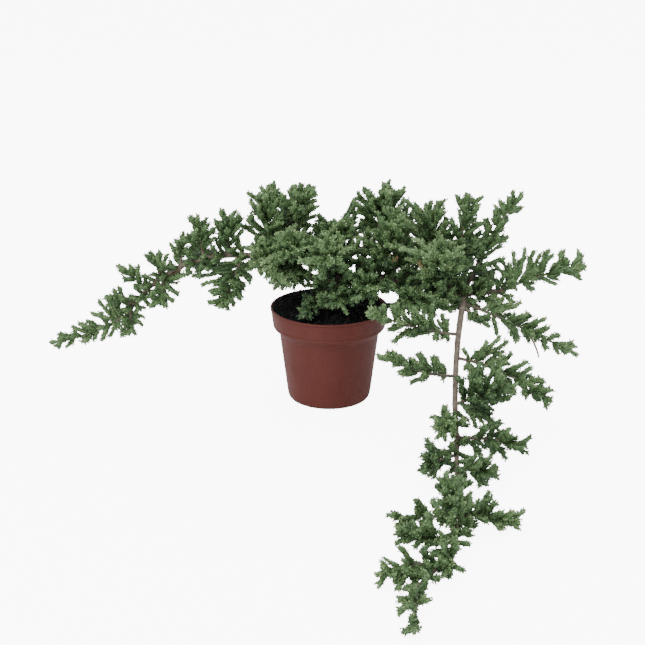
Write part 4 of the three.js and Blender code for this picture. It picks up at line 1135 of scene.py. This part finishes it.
# %% [markdown]
# ## Noise on a lattice
# Bark and soil are rough in a way that no formula of waves gives. Value noise does: a random number sits on
# each corner of a lattice, and a point gets a smooth blend of the eight round it. The random numbers come
# from mixing the corner's whole-number coordinates, so nothing has to be stored.

# %% Value noise
AXIS_PRIMES, SEED_PRIME, MIXER, LOW_BITS = (73856093, 19349663, 83492791), 97531, 1274126177, 0xFFFFFFFF


def noise(points, cell, seed):
    """From -1 to 1: the numbers of the eight lattice corners, weighted by an S-curve along each axis."""
    spot = np.asarray(points) / cell
    corner = np.floor(spot).astype(np.int64)
    share = spot - corner
    share = share * share * (3 - 2 * share)
    total = np.zeros(spot.shape[:-1])
    for step in np.ndindex(2, 2, 2):
        x, y, z = np.moveaxis((corner + step) * AXIS_PRIMES, -1, 0)
        mixed = x ^ y ^ z ^ (seed * SEED_PRIME)
        mixed = ((mixed ^ (mixed >> 13)) * MIXER) & LOW_BITS
        weight = np.where(step, share, 1 - share).prod(-1)
        total += weight * (mixed / 2**31 - 1)
    return total


print("noise:", noise(np.array([[1.0, 2, 3], [4.5, 1, 0]]), 2.0, 1).round(2))

# %% [markdown]
# ## Trunk and boughs
# The bark of a young juniper is thin and grey-brown, and comes off in long strips. Each limb is a tube
# along its curve with noise on its radius. The noise is read in the tube's own coordinates, round and
# along, with long cells, so the strips run with the limb. The boughs start inside the limb that carries
# them, so the joints close.

# %% Bark
BARK_SIDES = 26
BARK_ROW = 1.3  # length of one row of points
BARK_BASE, BARK_STRIP, BARK_KNOT = 0.97, 0.11, 0.25  # as shares of the radius
STRIP_STRETCH = 0.16
STRIP_CELL, STRIP_SHARE, CRACK_CELL, CRACK_SHARE = 1.1, 0.6, 0.5, 0.4
KNOT_CELL, KNOT_FROM, KNOT_STRETCH = 1.9, 0.35, [0.6, 0.6, 1.6]
FLARE_LOBES = 5
FLARE_LOBE_DEPTH = 0.3
TRUNK_START = 0.07  # the share of the trunk under the soil that is left out
LIMB_END = 0.6  # how far a limb's end bulges, in radii


def limb_surface(name, seed):
    """Radius by share and angle: the taper, plus strips of noise, less the hollows between the root lobes."""
    path = limbs[name]["path"]
    rows = int(path.length / BARK_ROW)
    share = np.linspace(TRUNK_START if name == "trunk" else 0.0, 1, rows)
    s, turn = np.meshgrid(share, np.linspace(0, FULL_TURN, BARK_SIDES, endpoint=False), indexing="ij")
    radius = limb_radius(name, s)
    spot = np.stack([np.cos(turn) * radius, np.sin(turn) * radius, s * path.length * STRIP_STRETCH], -1)
    strips = noise(spot, STRIP_CELL, seed) * STRIP_SHARE + noise(spot, CRACK_CELL, seed + 1) * CRACK_SHARE
    knots = np.maximum(0, noise(spot * KNOT_STRETCH, KNOT_CELL, seed + 2) - KNOT_FROM)
    if name == "trunk":
        left = FLARE_RADIUS * np.maximum(0, 1 - s / FLARE_HEIGHT)
        radius = radius + FLARE_LOBE_DEPTH * left * (np.cos(FLARE_LOBES * turn) - 1)
    radius = radius * (BARK_BASE + BARK_STRIP * strips + BARK_KNOT * knots)
    along, side, centre = path.along(share)[:, None], path.side(share)[:, None], path.at(share)
    wall = centre[:, None] + radius[..., None] * swing(side, np.cross(side, along), turn)
    end = centre[-1:] + path.along(1.0) * LIMB_END * radius[-1, 0]
    return np.concatenate([wall.reshape(-1, 3), centre[:1], end]), tube_faces(rows, BARK_SIDES)


for seed, name in enumerate(LIMBS):
    points, faces = limb_surface(name, 10 * seed)
    make_piece(name + "_bark", points, faces, OLD_BARK, [name])
    print(name, len(faces), "faces")

# %% [markdown]
# ## Stems and twigs
# The thin wood inside the foliage is thousands of small tubes. They all have the same number of points, so
# one array holds them: one axis for the tube, one for the row along it, one for the side. Stems get more
# sides than twigs. The young part of a juniper twig is green to its core, under the feet of its needles, so
# the twigs past their foot with their fingers are a green piece, and the spurs are another.

# %% Thin wood in one go
TETRAHEDRON_FACES = np.array([[0, 2, 1], [0, 1, 3], [1, 2, 3], [2, 0, 3]])
STEM_END, STEM_ROWS, STEM_SIDES = 0.45, 14, 8
STEM_RELIEF, STEM_CELL, RELIEF_AXES = 0.16, 1.3, [1, 1, 0.4]
TWIG_ROOT, TWIG_GAIN, TWIG_END, TWIG_ROWS, TWIG_SIDES = 0.5, 0.012, 0.4, 3, 4
BARE_ROOT, BARE_END, BARE_ROWS, BARE_SIDES = 1.2, 0.7, 8, 6
SHOOT_ROOT, SHOOT_END, SHOOT_ROWS, SHOOT_SIDES, BARK_PART = 2.1, 1.4, 3, 5, 0.16
SPUR_CORE, SPUR_CORNERS = 0.7, (0, 2.1, 4.2)  # radius of a spur's root, and the turns of its three corners


def thin_tubes(curves, root_radius, tip_radius, rows, sides_count):
    """Tubes along three-point curves: at each row a ring square to the curve, with a radius that tapers."""
    count = len(curves)
    root_radius, tip_radius = (np.broadcast_to(radius, count) for radius in (root_radius, tip_radius))
    share = np.broadcast_to(np.linspace(0, 1, rows), (count, rows))
    place, along = quadratic(curves[:, None], share)
    side, across = ring_axes(along)
    turn = np.linspace(0, FULL_TURN, sides_count, endpoint=False)
    radius = root_radius[:, None] + (tip_radius - root_radius)[:, None] * share
    wall = place[:, :, None] + radius[..., None, None] * swing(side[:, :, None], across[:, :, None], turn)
    end = place[:, -1:] + along[:, -1:] * tip_radius[:, None, None]
    points = np.concatenate([wall.reshape(count, -1, 3), place[:, :1], end], axis=1)
    return points.reshape(-1, 3), repeated_faces(tube_faces(rows, sides_count), count, points.shape[1])


def partly(curves, start):
    """The curves without their first part: the first point and the middle one move along by blending."""
    a, b, c = curves[:, 0], curves[:, 1], curves[:, 2]
    return np.stack([quadratic(curves, np.full(len(curves), start))[0], b + (c - b) * start, c], axis=1)


def spur_wood(curves):
    """A spur is a slim four-faced pyramid: three corners round its root, and its tip."""
    root, along = quadratic(curves, np.zeros(len(curves)))
    side, across = ring_axes(along)
    corners = [root + SPUR_CORE * (side * math.cos(turn) + across * math.sin(turn)) for turn in SPUR_CORNERS]
    points = np.stack([*corners, curves[:, 2]], axis=1)
    return points.reshape(-1, 3), repeated_faces(TETRAHEDRON_FACES, len(curves), 4)


def joined(*parts):
    """Several arrays of points and faces as one, with the indexes moved along."""
    shifts = np.cumsum([0] + [len(points) for points, _ in parts[:-1]])
    return np.concatenate([p for p, _ in parts]), np.concatenate([f + k for (_, f), k in zip(parts, shifts)])


points, faces = thin_tubes(stems, STEM_RADIUS, STEM_END * STEM_RADIUS, STEM_ROWS, STEM_SIDES)
points = points + STEM_RELIEF * noise(points, STEM_CELL, 5)[:, None] * RELIEF_AXES
make_piece("stems", points, faces, OLD_BARK, mass_names)
bare_twigs = np.array([points for mass in masses for points in mass["bare"]])
points, faces = joined(
    thin_tubes(twigs, TWIG_ROOT + TWIG_GAIN * twig_length, TWIG_END, TWIG_ROWS, TWIG_SIDES),
    thin_tubes(bare_twigs, BARE_ROOT, BARE_END, BARE_ROWS, BARE_SIDES),
)
make_piece("twigs", points, faces, YOUNG_BARK, mass_names)
leafy = np.concatenate([partly(twigs, BARK_PART), fingers])
points, faces = thin_tubes(leafy, SHOOT_ROOT, SHOOT_END, SHOOT_ROWS, SHOOT_SIDES)
make_piece("green_shoots", points, faces, GREENS["middle"], mass_names)
print("faces of green shoots:", len(faces))
points, faces = spur_wood(spurs)
make_piece("green_spurs", points, faces, GREENS["middle"], mass_names)
print("faces of green spurs:", len(faces))

# %% [markdown]
# ## Needles
# The needles of this juniper are short awls in whorls of three, each whorl turned by a sixth of a circle
# from the last. They stand off the shoot at some 40 degrees and close up over the tip. Particles could
# scatter them, but would not keep to whorls. A needle has four faces: a root, a tip and two side corners
# that are raised a little, so that it is folded along its middle like a real one. A needle that would stick
# out of the box, through the pot or into the soil or the ground is left out.

# %% Needles on a set of shoots
NEEDLE_LENGTH, NEEDLE_WIDTH, NEEDLE_FOLD = 3.0, 1.9, 0.5
WIDEST = 0.58  # share of the needle's length
NEEDLE_LEAN, TIP_CLOSING, NEEDLE_LEAN_DRAW = 38, 18, 7  # degrees
TIP_PART, TIP_SHORTER, NEEDLE_LENGTH_DRAW, NEEDLE_TURN_DRAW = 0.4, 0.2, (0.8, 1.15), 0.16
ROOT_DEPTH, ROOT_SETBACK, TIP_FORWARD, TIP_NEEDLE_LIGHTER = 0.75, 0.2, 0.10, 0.13
NEEDLE_ROOM, NEEDLE_MARGIN = 0.15, 0.6


def needles_on(curves, shade, owner, whorl_step, length, bare, core, least=1):
    """Three needles to a whorl: root on the core's surface, tip along the shoot and outwards by the lean."""
    count = np.maximum(least, ((1 - bare) * chord_lengths(curves) / whorl_step).astype(int))
    shoot, order = numbered(count)
    share = bare + (1 - bare) * (order + 0.75) / count[shoot]
    place, along = quadratic(curves[shoot], share)
    side, across = ring_axes(along)
    first = rng.uniform(0, ANY_TURN, len(curves))[shoot] + order * math.pi / 3
    turn = first[:, None] + np.arange(3) * FULL_TURN / 3 + rng.normal(0, NEEDLE_TURN_DRAW, (len(order), 3))
    out = swing(side[:, None], across[:, None], turn)
    near_tip = np.clip((share - (1 - TIP_PART)) / TIP_PART, 0, 1)[:, None]
    lean = NEEDLE_LEAN - TIP_CLOSING * near_tip + rng.normal(0, NEEDLE_LEAN_DRAW, (len(order), 3))
    lean = np.radians(lean)[..., None]
    aim = along[:, None] * np.cos(lean) + out * np.sin(lean)
    size = length * (1 - TIP_SHORTER * near_tip) * rng.uniform(*NEEDLE_LENGTH_DRAW, (len(order), 3))
    size = size[..., None]
    surface = ROOT_DEPTH * (core[0] + (core[1] - core[0]) * share)
    root = (place - along * ROOT_SETBACK)[:, None] + out * surface[:, None, None]
    tip = root + aim * size + along[:, None] * TIP_FORWARD * size
    across_aim = np.cross(aim, out)
    flat = (values.reshape(-1, values.shape[-1]) for values in (root, tip, across_aim, aim, size))
    root, tip, across_aim, aim, size = flat
    wide = root + aim * size * WIDEST + np.cross(aim, across_aim) * NEEDLE_FOLD
    half = across_aim * NEEDLE_WIDTH / 2 * np.sqrt(size / NEEDLE_LENGTH)
    points = np.stack([root, wide + half, wide - half, tip], axis=1)
    # needles near a shoot's tip are lighter: partly fresh growth, partly painted light
    lit = np.repeat(shade[shoot] + TIP_NEEDLE_LIGHTER * near_tip[:, 0], 3)
    ends = points[:, 1:]
    within = (ends > BOX_LOW + NEEDLE_MARGIN) & (ends < BOX_HIGH)
    free = (room_round_pot(ends, NEEDLE_ROOM) > 0).all(1) & within.all((1, 2))
    return points[free], lit[free], np.repeat(owner[shoot], 3)[free]


SPUR_WHORLS, SHOOT_WHORLS, STEM_WHORLS = 1.7, 1.65, 1.6  # from whorl to whorl
SPUR_NEEDLE, SPUR_NEEDLE_ROOTS, STEM_NEEDLE_ROOTS = 0.75 * NEEDLE_LENGTH, (0.6, 0.1), (0.9, 0.9)
# a random lighter tone on the spurs; painted shade on the needles of the stems, deep inside the masses
SPUR_LIGHTER, STEM_PAINTED_SHADE = 0.12, 0.08
outer_stems = [stem_stretch(mass, mass["from"] + 0.5 * BARE_FOOT, mass["tip_from"]) for mass in masses]
stem_shade = np.array([TINT_SHADE[plan["tint"]] - STEM_PAINTED_SHADE for plan in plans])
spur_shade = spur_shade + SPUR_LIGHTER * rng.random(len(spurs))
needle_points, needle_shade, needle_owner = (
    np.concatenate(parts)
    for parts in zip(
        needles_on(spurs, spur_shade, spur_owner, SPUR_WHORLS, SPUR_NEEDLE, 0.1, SPUR_NEEDLE_ROOTS, 2),
        needles_on(
            shoots, shoot_shade, shoot_owner, SHOOT_WHORLS, NEEDLE_LENGTH, 0.1, (SHOOT_ROOT, SHOOT_END), 2
        ),
        needles_on(
            np.array(outer_stems), stem_shade, np.arange(len(masses)),
            STEM_WHORLS, NEEDLE_LENGTH, 0.05, STEM_NEEDLE_ROOTS,
        ),
    )
)
print("needles:", len(needle_points), "triangles:", 4 * len(needle_points))

# %% [markdown]
# ## Dealing out the greens
# The eye reads a conifer by its light tips over dark insides: partly the lighter green of fresh growth, and
# partly painted light on the tips and painted shade inside. Each needle's shade, with a slow noise over the
# whole plant so that neighbouring sprays differ, and with painted shade low in the crown and painted light at
# its top and on the boughs outside it, falls into one of seven steps, and each step is a piece of its own
# colour. A step with very many needles is cut into pieces that stay under the limit for one mesh. A patch of
# painted shade in a dark hollow and two straw-coloured tufts sit where the photograph has them, on the
# nearest needle there.

# %% Needle pieces
SHADE_STEPS = {  # the highest shade of each
    "shade": 0.30, "deep": 0.41, "blue": 0.50, "middle": 0.59, "fresh": 0.69, "bright": 0.80, "tip": 9.0,
}
MOST_NEEDLES = 48000
SLOW_NOISE, FINE_NOISE = (0.07, 26.0, 3), (0.05, 9.0, 4)  # strength, cell and seed
SHADE_DRAW = 0.02
# painted shade and light: the crown's needles are darker towards the soil and lighter at its top, and the
# boughs outside the crown are lighter
CROWN_REACH, CROWN_MIDDLE, CROWN_SHADING = 62, 142, 0.13  # the crown is darker towards the soil
CROWN_DEPTH, LOWEST_SHADING, HIGHEST_SHADING = 30, -1.3, 0.6
OUTER_LIGHT = 0.06  # the boughs outside the crown are lighter
# the shade patch is painted shade in a dark hollow; the two straw patches are tufts of dead needles
PATCHES = [("shade", (388, 267), 8), ("straw", (394, 256), 6), ("straw", (420, 262), 4)]  # tint, pixel, reach
PATCH_PIXELS = 4

centres = needle_points[:, 0]
shade = needle_shade
for strength, cell, seed in (SLOW_NOISE, FINE_NOISE):
    shade = shade + strength * noise(centres, cell, seed)
in_crown = np.exp(-(centres[:, 0] ** 2 + centres[:, 1] ** 2) / CROWN_REACH**2)
height = np.clip((centres[:, 2] - CROWN_MIDDLE) / CROWN_DEPTH, LOWEST_SHADING, HIGHEST_SHADING)
# painted shade low in the crown, painted light at its top and on the boughs outside it
shade += CROWN_SHADING * in_crown * height
shade += OUTER_LIGHT * (1 - in_crown)
shade += rng.normal(0, SHADE_DRAW, len(shade))
step_of = np.searchsorted(list(SHADE_STEPS.values()), shade)
pixels, depths = in_picture(centres), (centres - CAMERA_PLACE) @ CAMERA_FORWARD
patch_of = np.full(len(centres), "", dtype=object)
for name, pixel, radius in PATCHES:
    under = np.flatnonzero(np.linalg.norm(pixels - pixel, axis=1) < PATCH_PIXELS)
    nearest = centres[under[depths[under].argmin()]]
    patch_of[np.linalg.norm(centres - nearest, axis=1) < radius] = name
for step, tint in enumerate([*SHADE_STEPS, "straw"]):
    chosen = np.flatnonzero(((step_of == step) & (patch_of == "")) | (patch_of == tint))
    parts = max(1, math.ceil(len(chosen) / MOST_NEEDLES))
    for part, members in enumerate(np.array_split(chosen, parts), 1):
        corners = needle_points[members].reshape(-1, 3)
        faces = repeated_faces(TETRAHEDRON_FACES, len(members), 4)
        owners = [mass_names[k] for k in np.unique(needle_owner[members])]
        name = f"needles_{tint}_{part}" if parts > 1 else f"needles_{tint}"
        make_piece(name, corners, faces, GREENS[tint], owners, smooth=False)
    print(tint, len(chosen), "needles in", parts, "pieces")

# %% [markdown]
# ## The pot
# A nursery pot is moulded thin: a wall that widens upwards, a slanted step out to a deep lip, and a rounded
# rim. It is a profile turned about the middle. Rounding each corner of the profile with a short arc gives
# the edges that catch the light.

# %% Turned pot
POT_TURNS, ARC_STEPS = 160, 5
CREASE = 0.35  # depth of the lines moulded round the lip
LIP_BULGE, RIM_STEP = 0.15, 0.5
LIP_LINE, RIM_LINE = (1.6, 1.9, 2.3), (2.6, 2.3, 1.9)  # heights over the lip's foot, and under the rim
lip_bottom = POT_HEIGHT - POT_LIP_HEIGHT
neck = lip_bottom - POT_NECK_DROP


def rounded(corners):
    """Corners given as (radius, height, rounding). Each becomes an arc between points its rounding away."""
    made = []
    for i, (x, z, r) in enumerate(corners):
        here = np.array([x, z])
        if r == 0:
            made.append(here[None])
            continue
        before, after = np.array(corners[i - 1][:2]), np.array(corners[i + 1][:2])
        start = here + (before - here) / np.linalg.norm(before - here) * r
        end = here + (after - here) / np.linalg.norm(after - here) * r
        t = np.linspace(0, 1, ARC_STEPS)[:, None]
        made.append(start * (1 - t) ** 2 + here * 2 * t * (1 - t) + end * t**2)
    return np.concatenate(made)


def turned(profile, turns):
    """Points (radius cos, radius sin, height) for every point of the profile at every turn."""
    angle = np.linspace(0, FULL_TURN, turns, endpoint=False)
    wall = profile[:, None, 0, None] * np.stack([np.cos(angle), np.sin(angle)], -1)
    height = np.broadcast_to(profile[:, None, 1, None], wall.shape[:2] + (1,))
    poles = [[0, 0, profile[0, 1]], [0, 0, profile[-1, 1]]]
    return np.concatenate([np.concatenate([wall, height], -1).reshape(-1, 3), poles])


outside = [
    (POT_BASE_RADIUS - POT_BASE_ROUND - 3, 0, 0.3),
    (POT_BASE_RADIUS - 0.6, 0, POT_BASE_ROUND - 0.6),
    (POT_BASE_RADIUS + 0.75, 8, 1.5),
    (POT_NECK_RADIUS, neck, 1.2),
    (POT_LIP_RADIUS - 0.7, lip_bottom - 1.2, 0.7),
    (POT_LIP_RADIUS, lip_bottom, 0.5),
    (POT_LIP_RADIUS + LIP_BULGE, lip_bottom + LIP_LINE[0], 0.3),
    (POT_LIP_RADIUS + LIP_BULGE - CREASE, lip_bottom + LIP_LINE[1], 0.2),
    (POT_LIP_RADIUS + 0.25, lip_bottom + LIP_LINE[2], 0.3),
    (POT_RIM_RADIUS - RIM_STEP, POT_HEIGHT - RIM_LINE[0], 0.3),
    (POT_RIM_RADIUS - RIM_STEP - CREASE, POT_HEIGHT - RIM_LINE[1], 0.2),
    (POT_RIM_RADIUS, POT_HEIGHT - RIM_LINE[2], 0.35),
    (POT_RIM_RADIUS, POT_HEIGHT, 0.7),
]
inside = [
    (POT_RIM_RADIUS - POT_WALL, POT_HEIGHT, 0.5),
    (POT_LIP_RADIUS - POT_WALL, lip_bottom, 0.5),
    (POT_NECK_RADIUS - POT_WALL, neck, 0.5),
    (POT_BASE_RADIUS - POT_WALL, POT_WALL, 0.8),
]
profile = rounded([(1, 0, 0), *outside, *inside, (1, POT_WALL, 0)])
points = turned(profile, POT_TURNS)
pot = make_piece("pot_body", points, tube_faces(len(profile), POT_TURNS), POT_PLASTIC, ["pot"])
print("pot profile:", len(profile), "points")

# %% [markdown]
# The drain holes are cut with a Boolean modifier, because a turned grid has no rows where round holes off
# its middle would fall. The modifier's result is then kept as the mesh and the cutter is removed.

# %% Drain holes
DRAIN_HOLES, DRAIN_RADIUS, DRAIN_CIRCLE, DRILL_TURNS = 6, 4, 20, 24
drill = []
for i in range(DRAIN_HOLES):
    angle = FULL_TURN * (i + 0.5) / DRAIN_HOLES
    hole = turned(np.array([[DRAIN_RADIUS, -POT_WALL], [DRAIN_RADIUS, 2 * POT_WALL]]), DRILL_TURNS)
    hole = hole + [DRAIN_CIRCLE * math.cos(angle), DRAIN_CIRCLE * math.sin(angle), 0]
    drill.append((hole, tube_faces(2, DRILL_TURNS)))
points, faces = joined(*drill)
cutter = make_piece("drill", points, faces, POT_PLASTIC, smooth=False)
cut = pot.modifiers.new("drain holes", "BOOLEAN")
cut.operation = "DIFFERENCE"
cut.solver = "EXACT"
cut.object = cutter
bpy.context.view_layer.update()
drilled = bpy.data.meshes.new_from_object(pot.evaluated_get(bpy.context.evaluated_depsgraph_get()))
pot.modifiers.clear()
pot.data = drilled
bpy.data.objects.remove(cutter)
print("pot faces:", len(drilled.polygons))

# %% [markdown]
# ## The soil
# Dark potting soil, a little higher at the back left and lower at the wall. The top is a turned grid whose
# height is the heap, less the dip at the wall, plus three sizes of noise.

# %% Soil
SOIL_EDGE_DROP, SOIL_ROUGHNESS = 0.5, 0.8
SOIL_ROWS, SOIL_TURNS = 70, 150
SOIL_NOISE = ((1.1, 9, 21), (0.9, 3.6, 22), (0.55, 1.5, 23))  # height, cell and seed of each size
HEAP_DIAGONAL, HEAP_ROUNDING = 1.4, 0.5
CALM_RADIUS, CALM_WIDTH, CALMEST = 11, 8, 0.15  # the soil lies smoother round the trunk's foot
SOIL_WALL_GAP = 0.15
SOIL_LEVEL = 0.8  # how far up the lip the edge of the soil lies
soil_radius = POT_LIP_RADIUS + (POT_RIM_RADIUS - POT_LIP_RADIUS) * SOIL_LEVEL - POT_WALL - SOIL_WALL_GAP


def soil_height(x, y):
    """The heap at the back left, less the dip towards the wall, plus noise that is calmed at the trunk."""
    out = np.hypot(x, y) / soil_radius
    from_trunk = np.hypot(x - TRUNK_FOOT[0], y - TRUNK_FOOT[1])
    loose = np.clip((from_trunk - CALM_RADIUS) / CALM_WIDTH, CALMEST, 1)
    heap = np.maximum(0, (y - x) / (HEAP_DIAGONAL * soil_radius)) * SOIL_MOUND * (1 - HEAP_ROUNDING * out**4)
    place = np.stack([x, y, 0 * x], -1)
    rough = sum(height * noise(place, cell, seed) for height, cell, seed in SOIL_NOISE)
    return SOIL_HEIGHT + loose * (heap - SOIL_EDGE_DROP * out**2 + SOIL_ROUGHNESS * rough)


hidden = [[1, 3], [POT_BASE_RADIUS - 3, 3], [POT_NECK_RADIUS - 2, neck], [POT_LIP_RADIUS - 2, lip_bottom]]
top = np.stack([soil_radius * np.linspace(1, 0.01, SOIL_ROWS), np.full(SOIL_ROWS, SOIL_HEIGHT)], -1)
profile = np.concatenate([hidden, top])
points = turned(profile, SOIL_TURNS)
upper = points[:, 2] > lip_bottom + 1
points[upper, 2] = soil_height(points[upper, 0], points[upper, 1])
make_piece("soil_body", points, tube_faces(len(profile), SOIL_TURNS), SOIL_EARTH, ["soil"])
print("soil top:", SOIL_ROWS, "by", SOIL_TURNS)

# %% [markdown]
# Crumbs, bark chips and a few fallen needles lie on the soil, each a small closed shape, joined by kind. An
# eight-faced lump is enough for any of them: flattened it is a chip, and drawn out it is a needle. A larger
# dark lump, a ball squeezed flat with noise on it, rests on the rim at the right.

# %% Crumbs, chips and the lump on the rim
OCTAHEDRON = np.array([[1, 0, 0], [-1, 0, 0], [0, 1, 0], [0, -1, 0], [0, 0, 1], [0, 0, -1]], float)
OCTAHEDRON_FACES = np.array(
    [[0, 2, 4], [2, 1, 4], [1, 3, 4], [3, 0, 4], [2, 0, 5], [1, 2, 5], [3, 1, 5], [0, 3, 5]]
)
LUMP_DRAW, SIZE_DRAW, LUMP_DEPTH = (0.6, 1.3), (0.5, 1.4), 0.25
CRUMB, CHIP, FALLEN = (1, 1, 1), (1.7, 0.8, 0.4), (1.0, 0.12, 0.1)  # shapes, as shares of the size
CHUNK_PLACE, CHUNK_SIZE, CHUNK_TILT = (49.5, -3, 86.7), (9.2, 5, 2.2), math.radians(-8)
CHUNK_ROWS, CHUNK_TURNS, CHUNK_RELIEF, CHUNK_CELL, POLE_GAP = 16, 24, 0.22, 0.5, 0.02


def scatter(name, count, size, shape, inset, material):
    """Small eight-faced lumps on the soil: each corner pulled in or out at random, then turned about."""
    out = (soil_radius - inset) * np.sqrt(rng.uniform(0.02, 1, count))
    turn = rng.uniform(0, FULL_TURN, count)
    x, y = out * np.cos(turn), out * np.sin(turn)
    base = OCTAHEDRON * rng.uniform(*LUMP_DRAW, (count, 6, 1)) * shape
    spin = np.linalg.qr(rng.normal(size=(count, 3, 3)))[0]
    lump = np.einsum("nij,nkj->nki", spin, base) * (size * rng.uniform(*SIZE_DRAW, count))[:, None, None]
    centre = np.stack([x, y, soil_height(x, y) + LUMP_DEPTH * size], -1)
    points, faces = (lump + centre[:, None]).reshape(-1, 3), repeated_faces(OCTAHEDRON_FACES, count, 6)
    make_piece(name, points, faces, material, smooth=False)
    print(name, count)


scatter("soil_crumbs", 2600, 0.95, CRUMB, 1.5, SOIL_EARTH)
scatter("bark_chips", 150, 2.0, CHIP, 3, CHIP_BROWN)
half_turn = np.linspace(POLE_GAP, math.pi - POLE_GAP, CHUNK_ROWS)
chunk = turned(np.stack([np.sin(half_turn), -np.cos(half_turn)], -1), CHUNK_TURNS)
chunk = (chunk + CHUNK_RELIEF * noise(chunk, CHUNK_CELL, 31)[:, None] * chunk) * CHUNK_SIZE
level, steep = math.cos(CHUNK_TILT), math.sin(CHUNK_TILT)
chunk = chunk @ np.array([[level, 0, steep], [0, 1, 0], [-steep, 0, level]]).T + CHUNK_PLACE
make_piece("rim_chunk", chunk, tube_faces(CHUNK_ROWS, CHUNK_TURNS), SOIL_EARTH)
scatter("fallen_needles", 36, 2.3, FALLEN, 3, GREENS["straw"])

# %% [markdown]
# ## Floor and light
# The photograph is lit softly, mostly from the upper left and front, on plain white. A wide pale floor, a
# large key light, a weaker fill from the right and a bright world give soft shadows and no hard glints. The
# floor shines only for the camera, so it looks white without lighting the plant from below.

# %% Stage
FLOOR_HALF = 9.0  # metres
FLOOR_GLOW, WORLD_GLOW = 8.0, 1.35
LIGHT_TARGET = (0, -0.1, 0.08)  # metres
LIGHTS = {  # place in metres, size in metres and power in watts
    "key": ((-1.1, -1.2, 1.7), 1.0, 34),
    "fill": ((1.5, -1.0, 0.9), 1.4, 6.5),
    "top": ((0.1, 0.5, 2.0), 1.6, 14),
}


def soft_light(name, place, size, power):
    """An area light at a place, turned to face the plant."""
    data = bpy.data.lights.new(name, "AREA")
    data.size = size
    data.energy = power
    light = bpy.data.objects.new(name, data)
    light.location = place
    light.rotation_mode = "QUATERNION"
    light.rotation_quaternion = (Vector(LIGHT_TARGET) - Vector(place)).to_track_quat("-Z", "Y")
    bpy.context.scene.collection.objects.link(light)


floor_mesh = bpy.data.meshes.new("floor")
corners = [(x * FLOOR_HALF, y * FLOOR_HALF, 0) for x, y in ((-1, -1), (1, -1), (1, 1), (-1, 1))]
floor_mesh.from_pydata(corners, [], [(0, 1, 2, 3)])
floor = bpy.data.objects.new("floor", floor_mesh)
bpy.context.scene.collection.objects.link(floor)
pale, pale_shader = new_material(
    "pale_floor", {"Base Color": (0.93, 0.93, 0.93, 1), "Roughness": 0.9, "Emission Color": (1, 1, 1, 1)}
)
seen_directly = pale.node_tree.nodes.new("ShaderNodeLightPath").outputs["Is Camera Ray"]
glow = pale.node_tree.nodes.new("ShaderNodeMath")
glow.operation = "MULTIPLY_ADD"
glow.inputs[1].default_value, glow.inputs[2].default_value = FLOOR_GLOW, 0.0
link(
    pale.node_tree,
    (seen_directly, glow.inputs[0]),
    (glow.outputs[0], pale_shader.inputs["Emission Strength"]),
)
floor_mesh.materials.append(pale)
for name, (place, size, power) in LIGHTS.items():
    soft_light(name, place, size, power)
world = bpy.data.worlds.new("studio")
world.use_nodes = True
give(world.node_tree.nodes["Background"], {"Color": (0.95, 0.97, 1.0, 1), "Strength": WORLD_GLOW})
bpy.context.scene.world = world
print("lights:", [light.name for light in bpy.data.lights])

# %% [markdown]
# ## The box of the solids
# The twigs and needles were kept inside the box of the solids, less a small margin on each side. The
# finished plant has to stay in the box of the solids, apart from a small share of each side. That box is
# printed once more.

# %% Sizes and finish
print("CAD box:", [round(v, 4) for v in (*cad_low, *cad_high)])
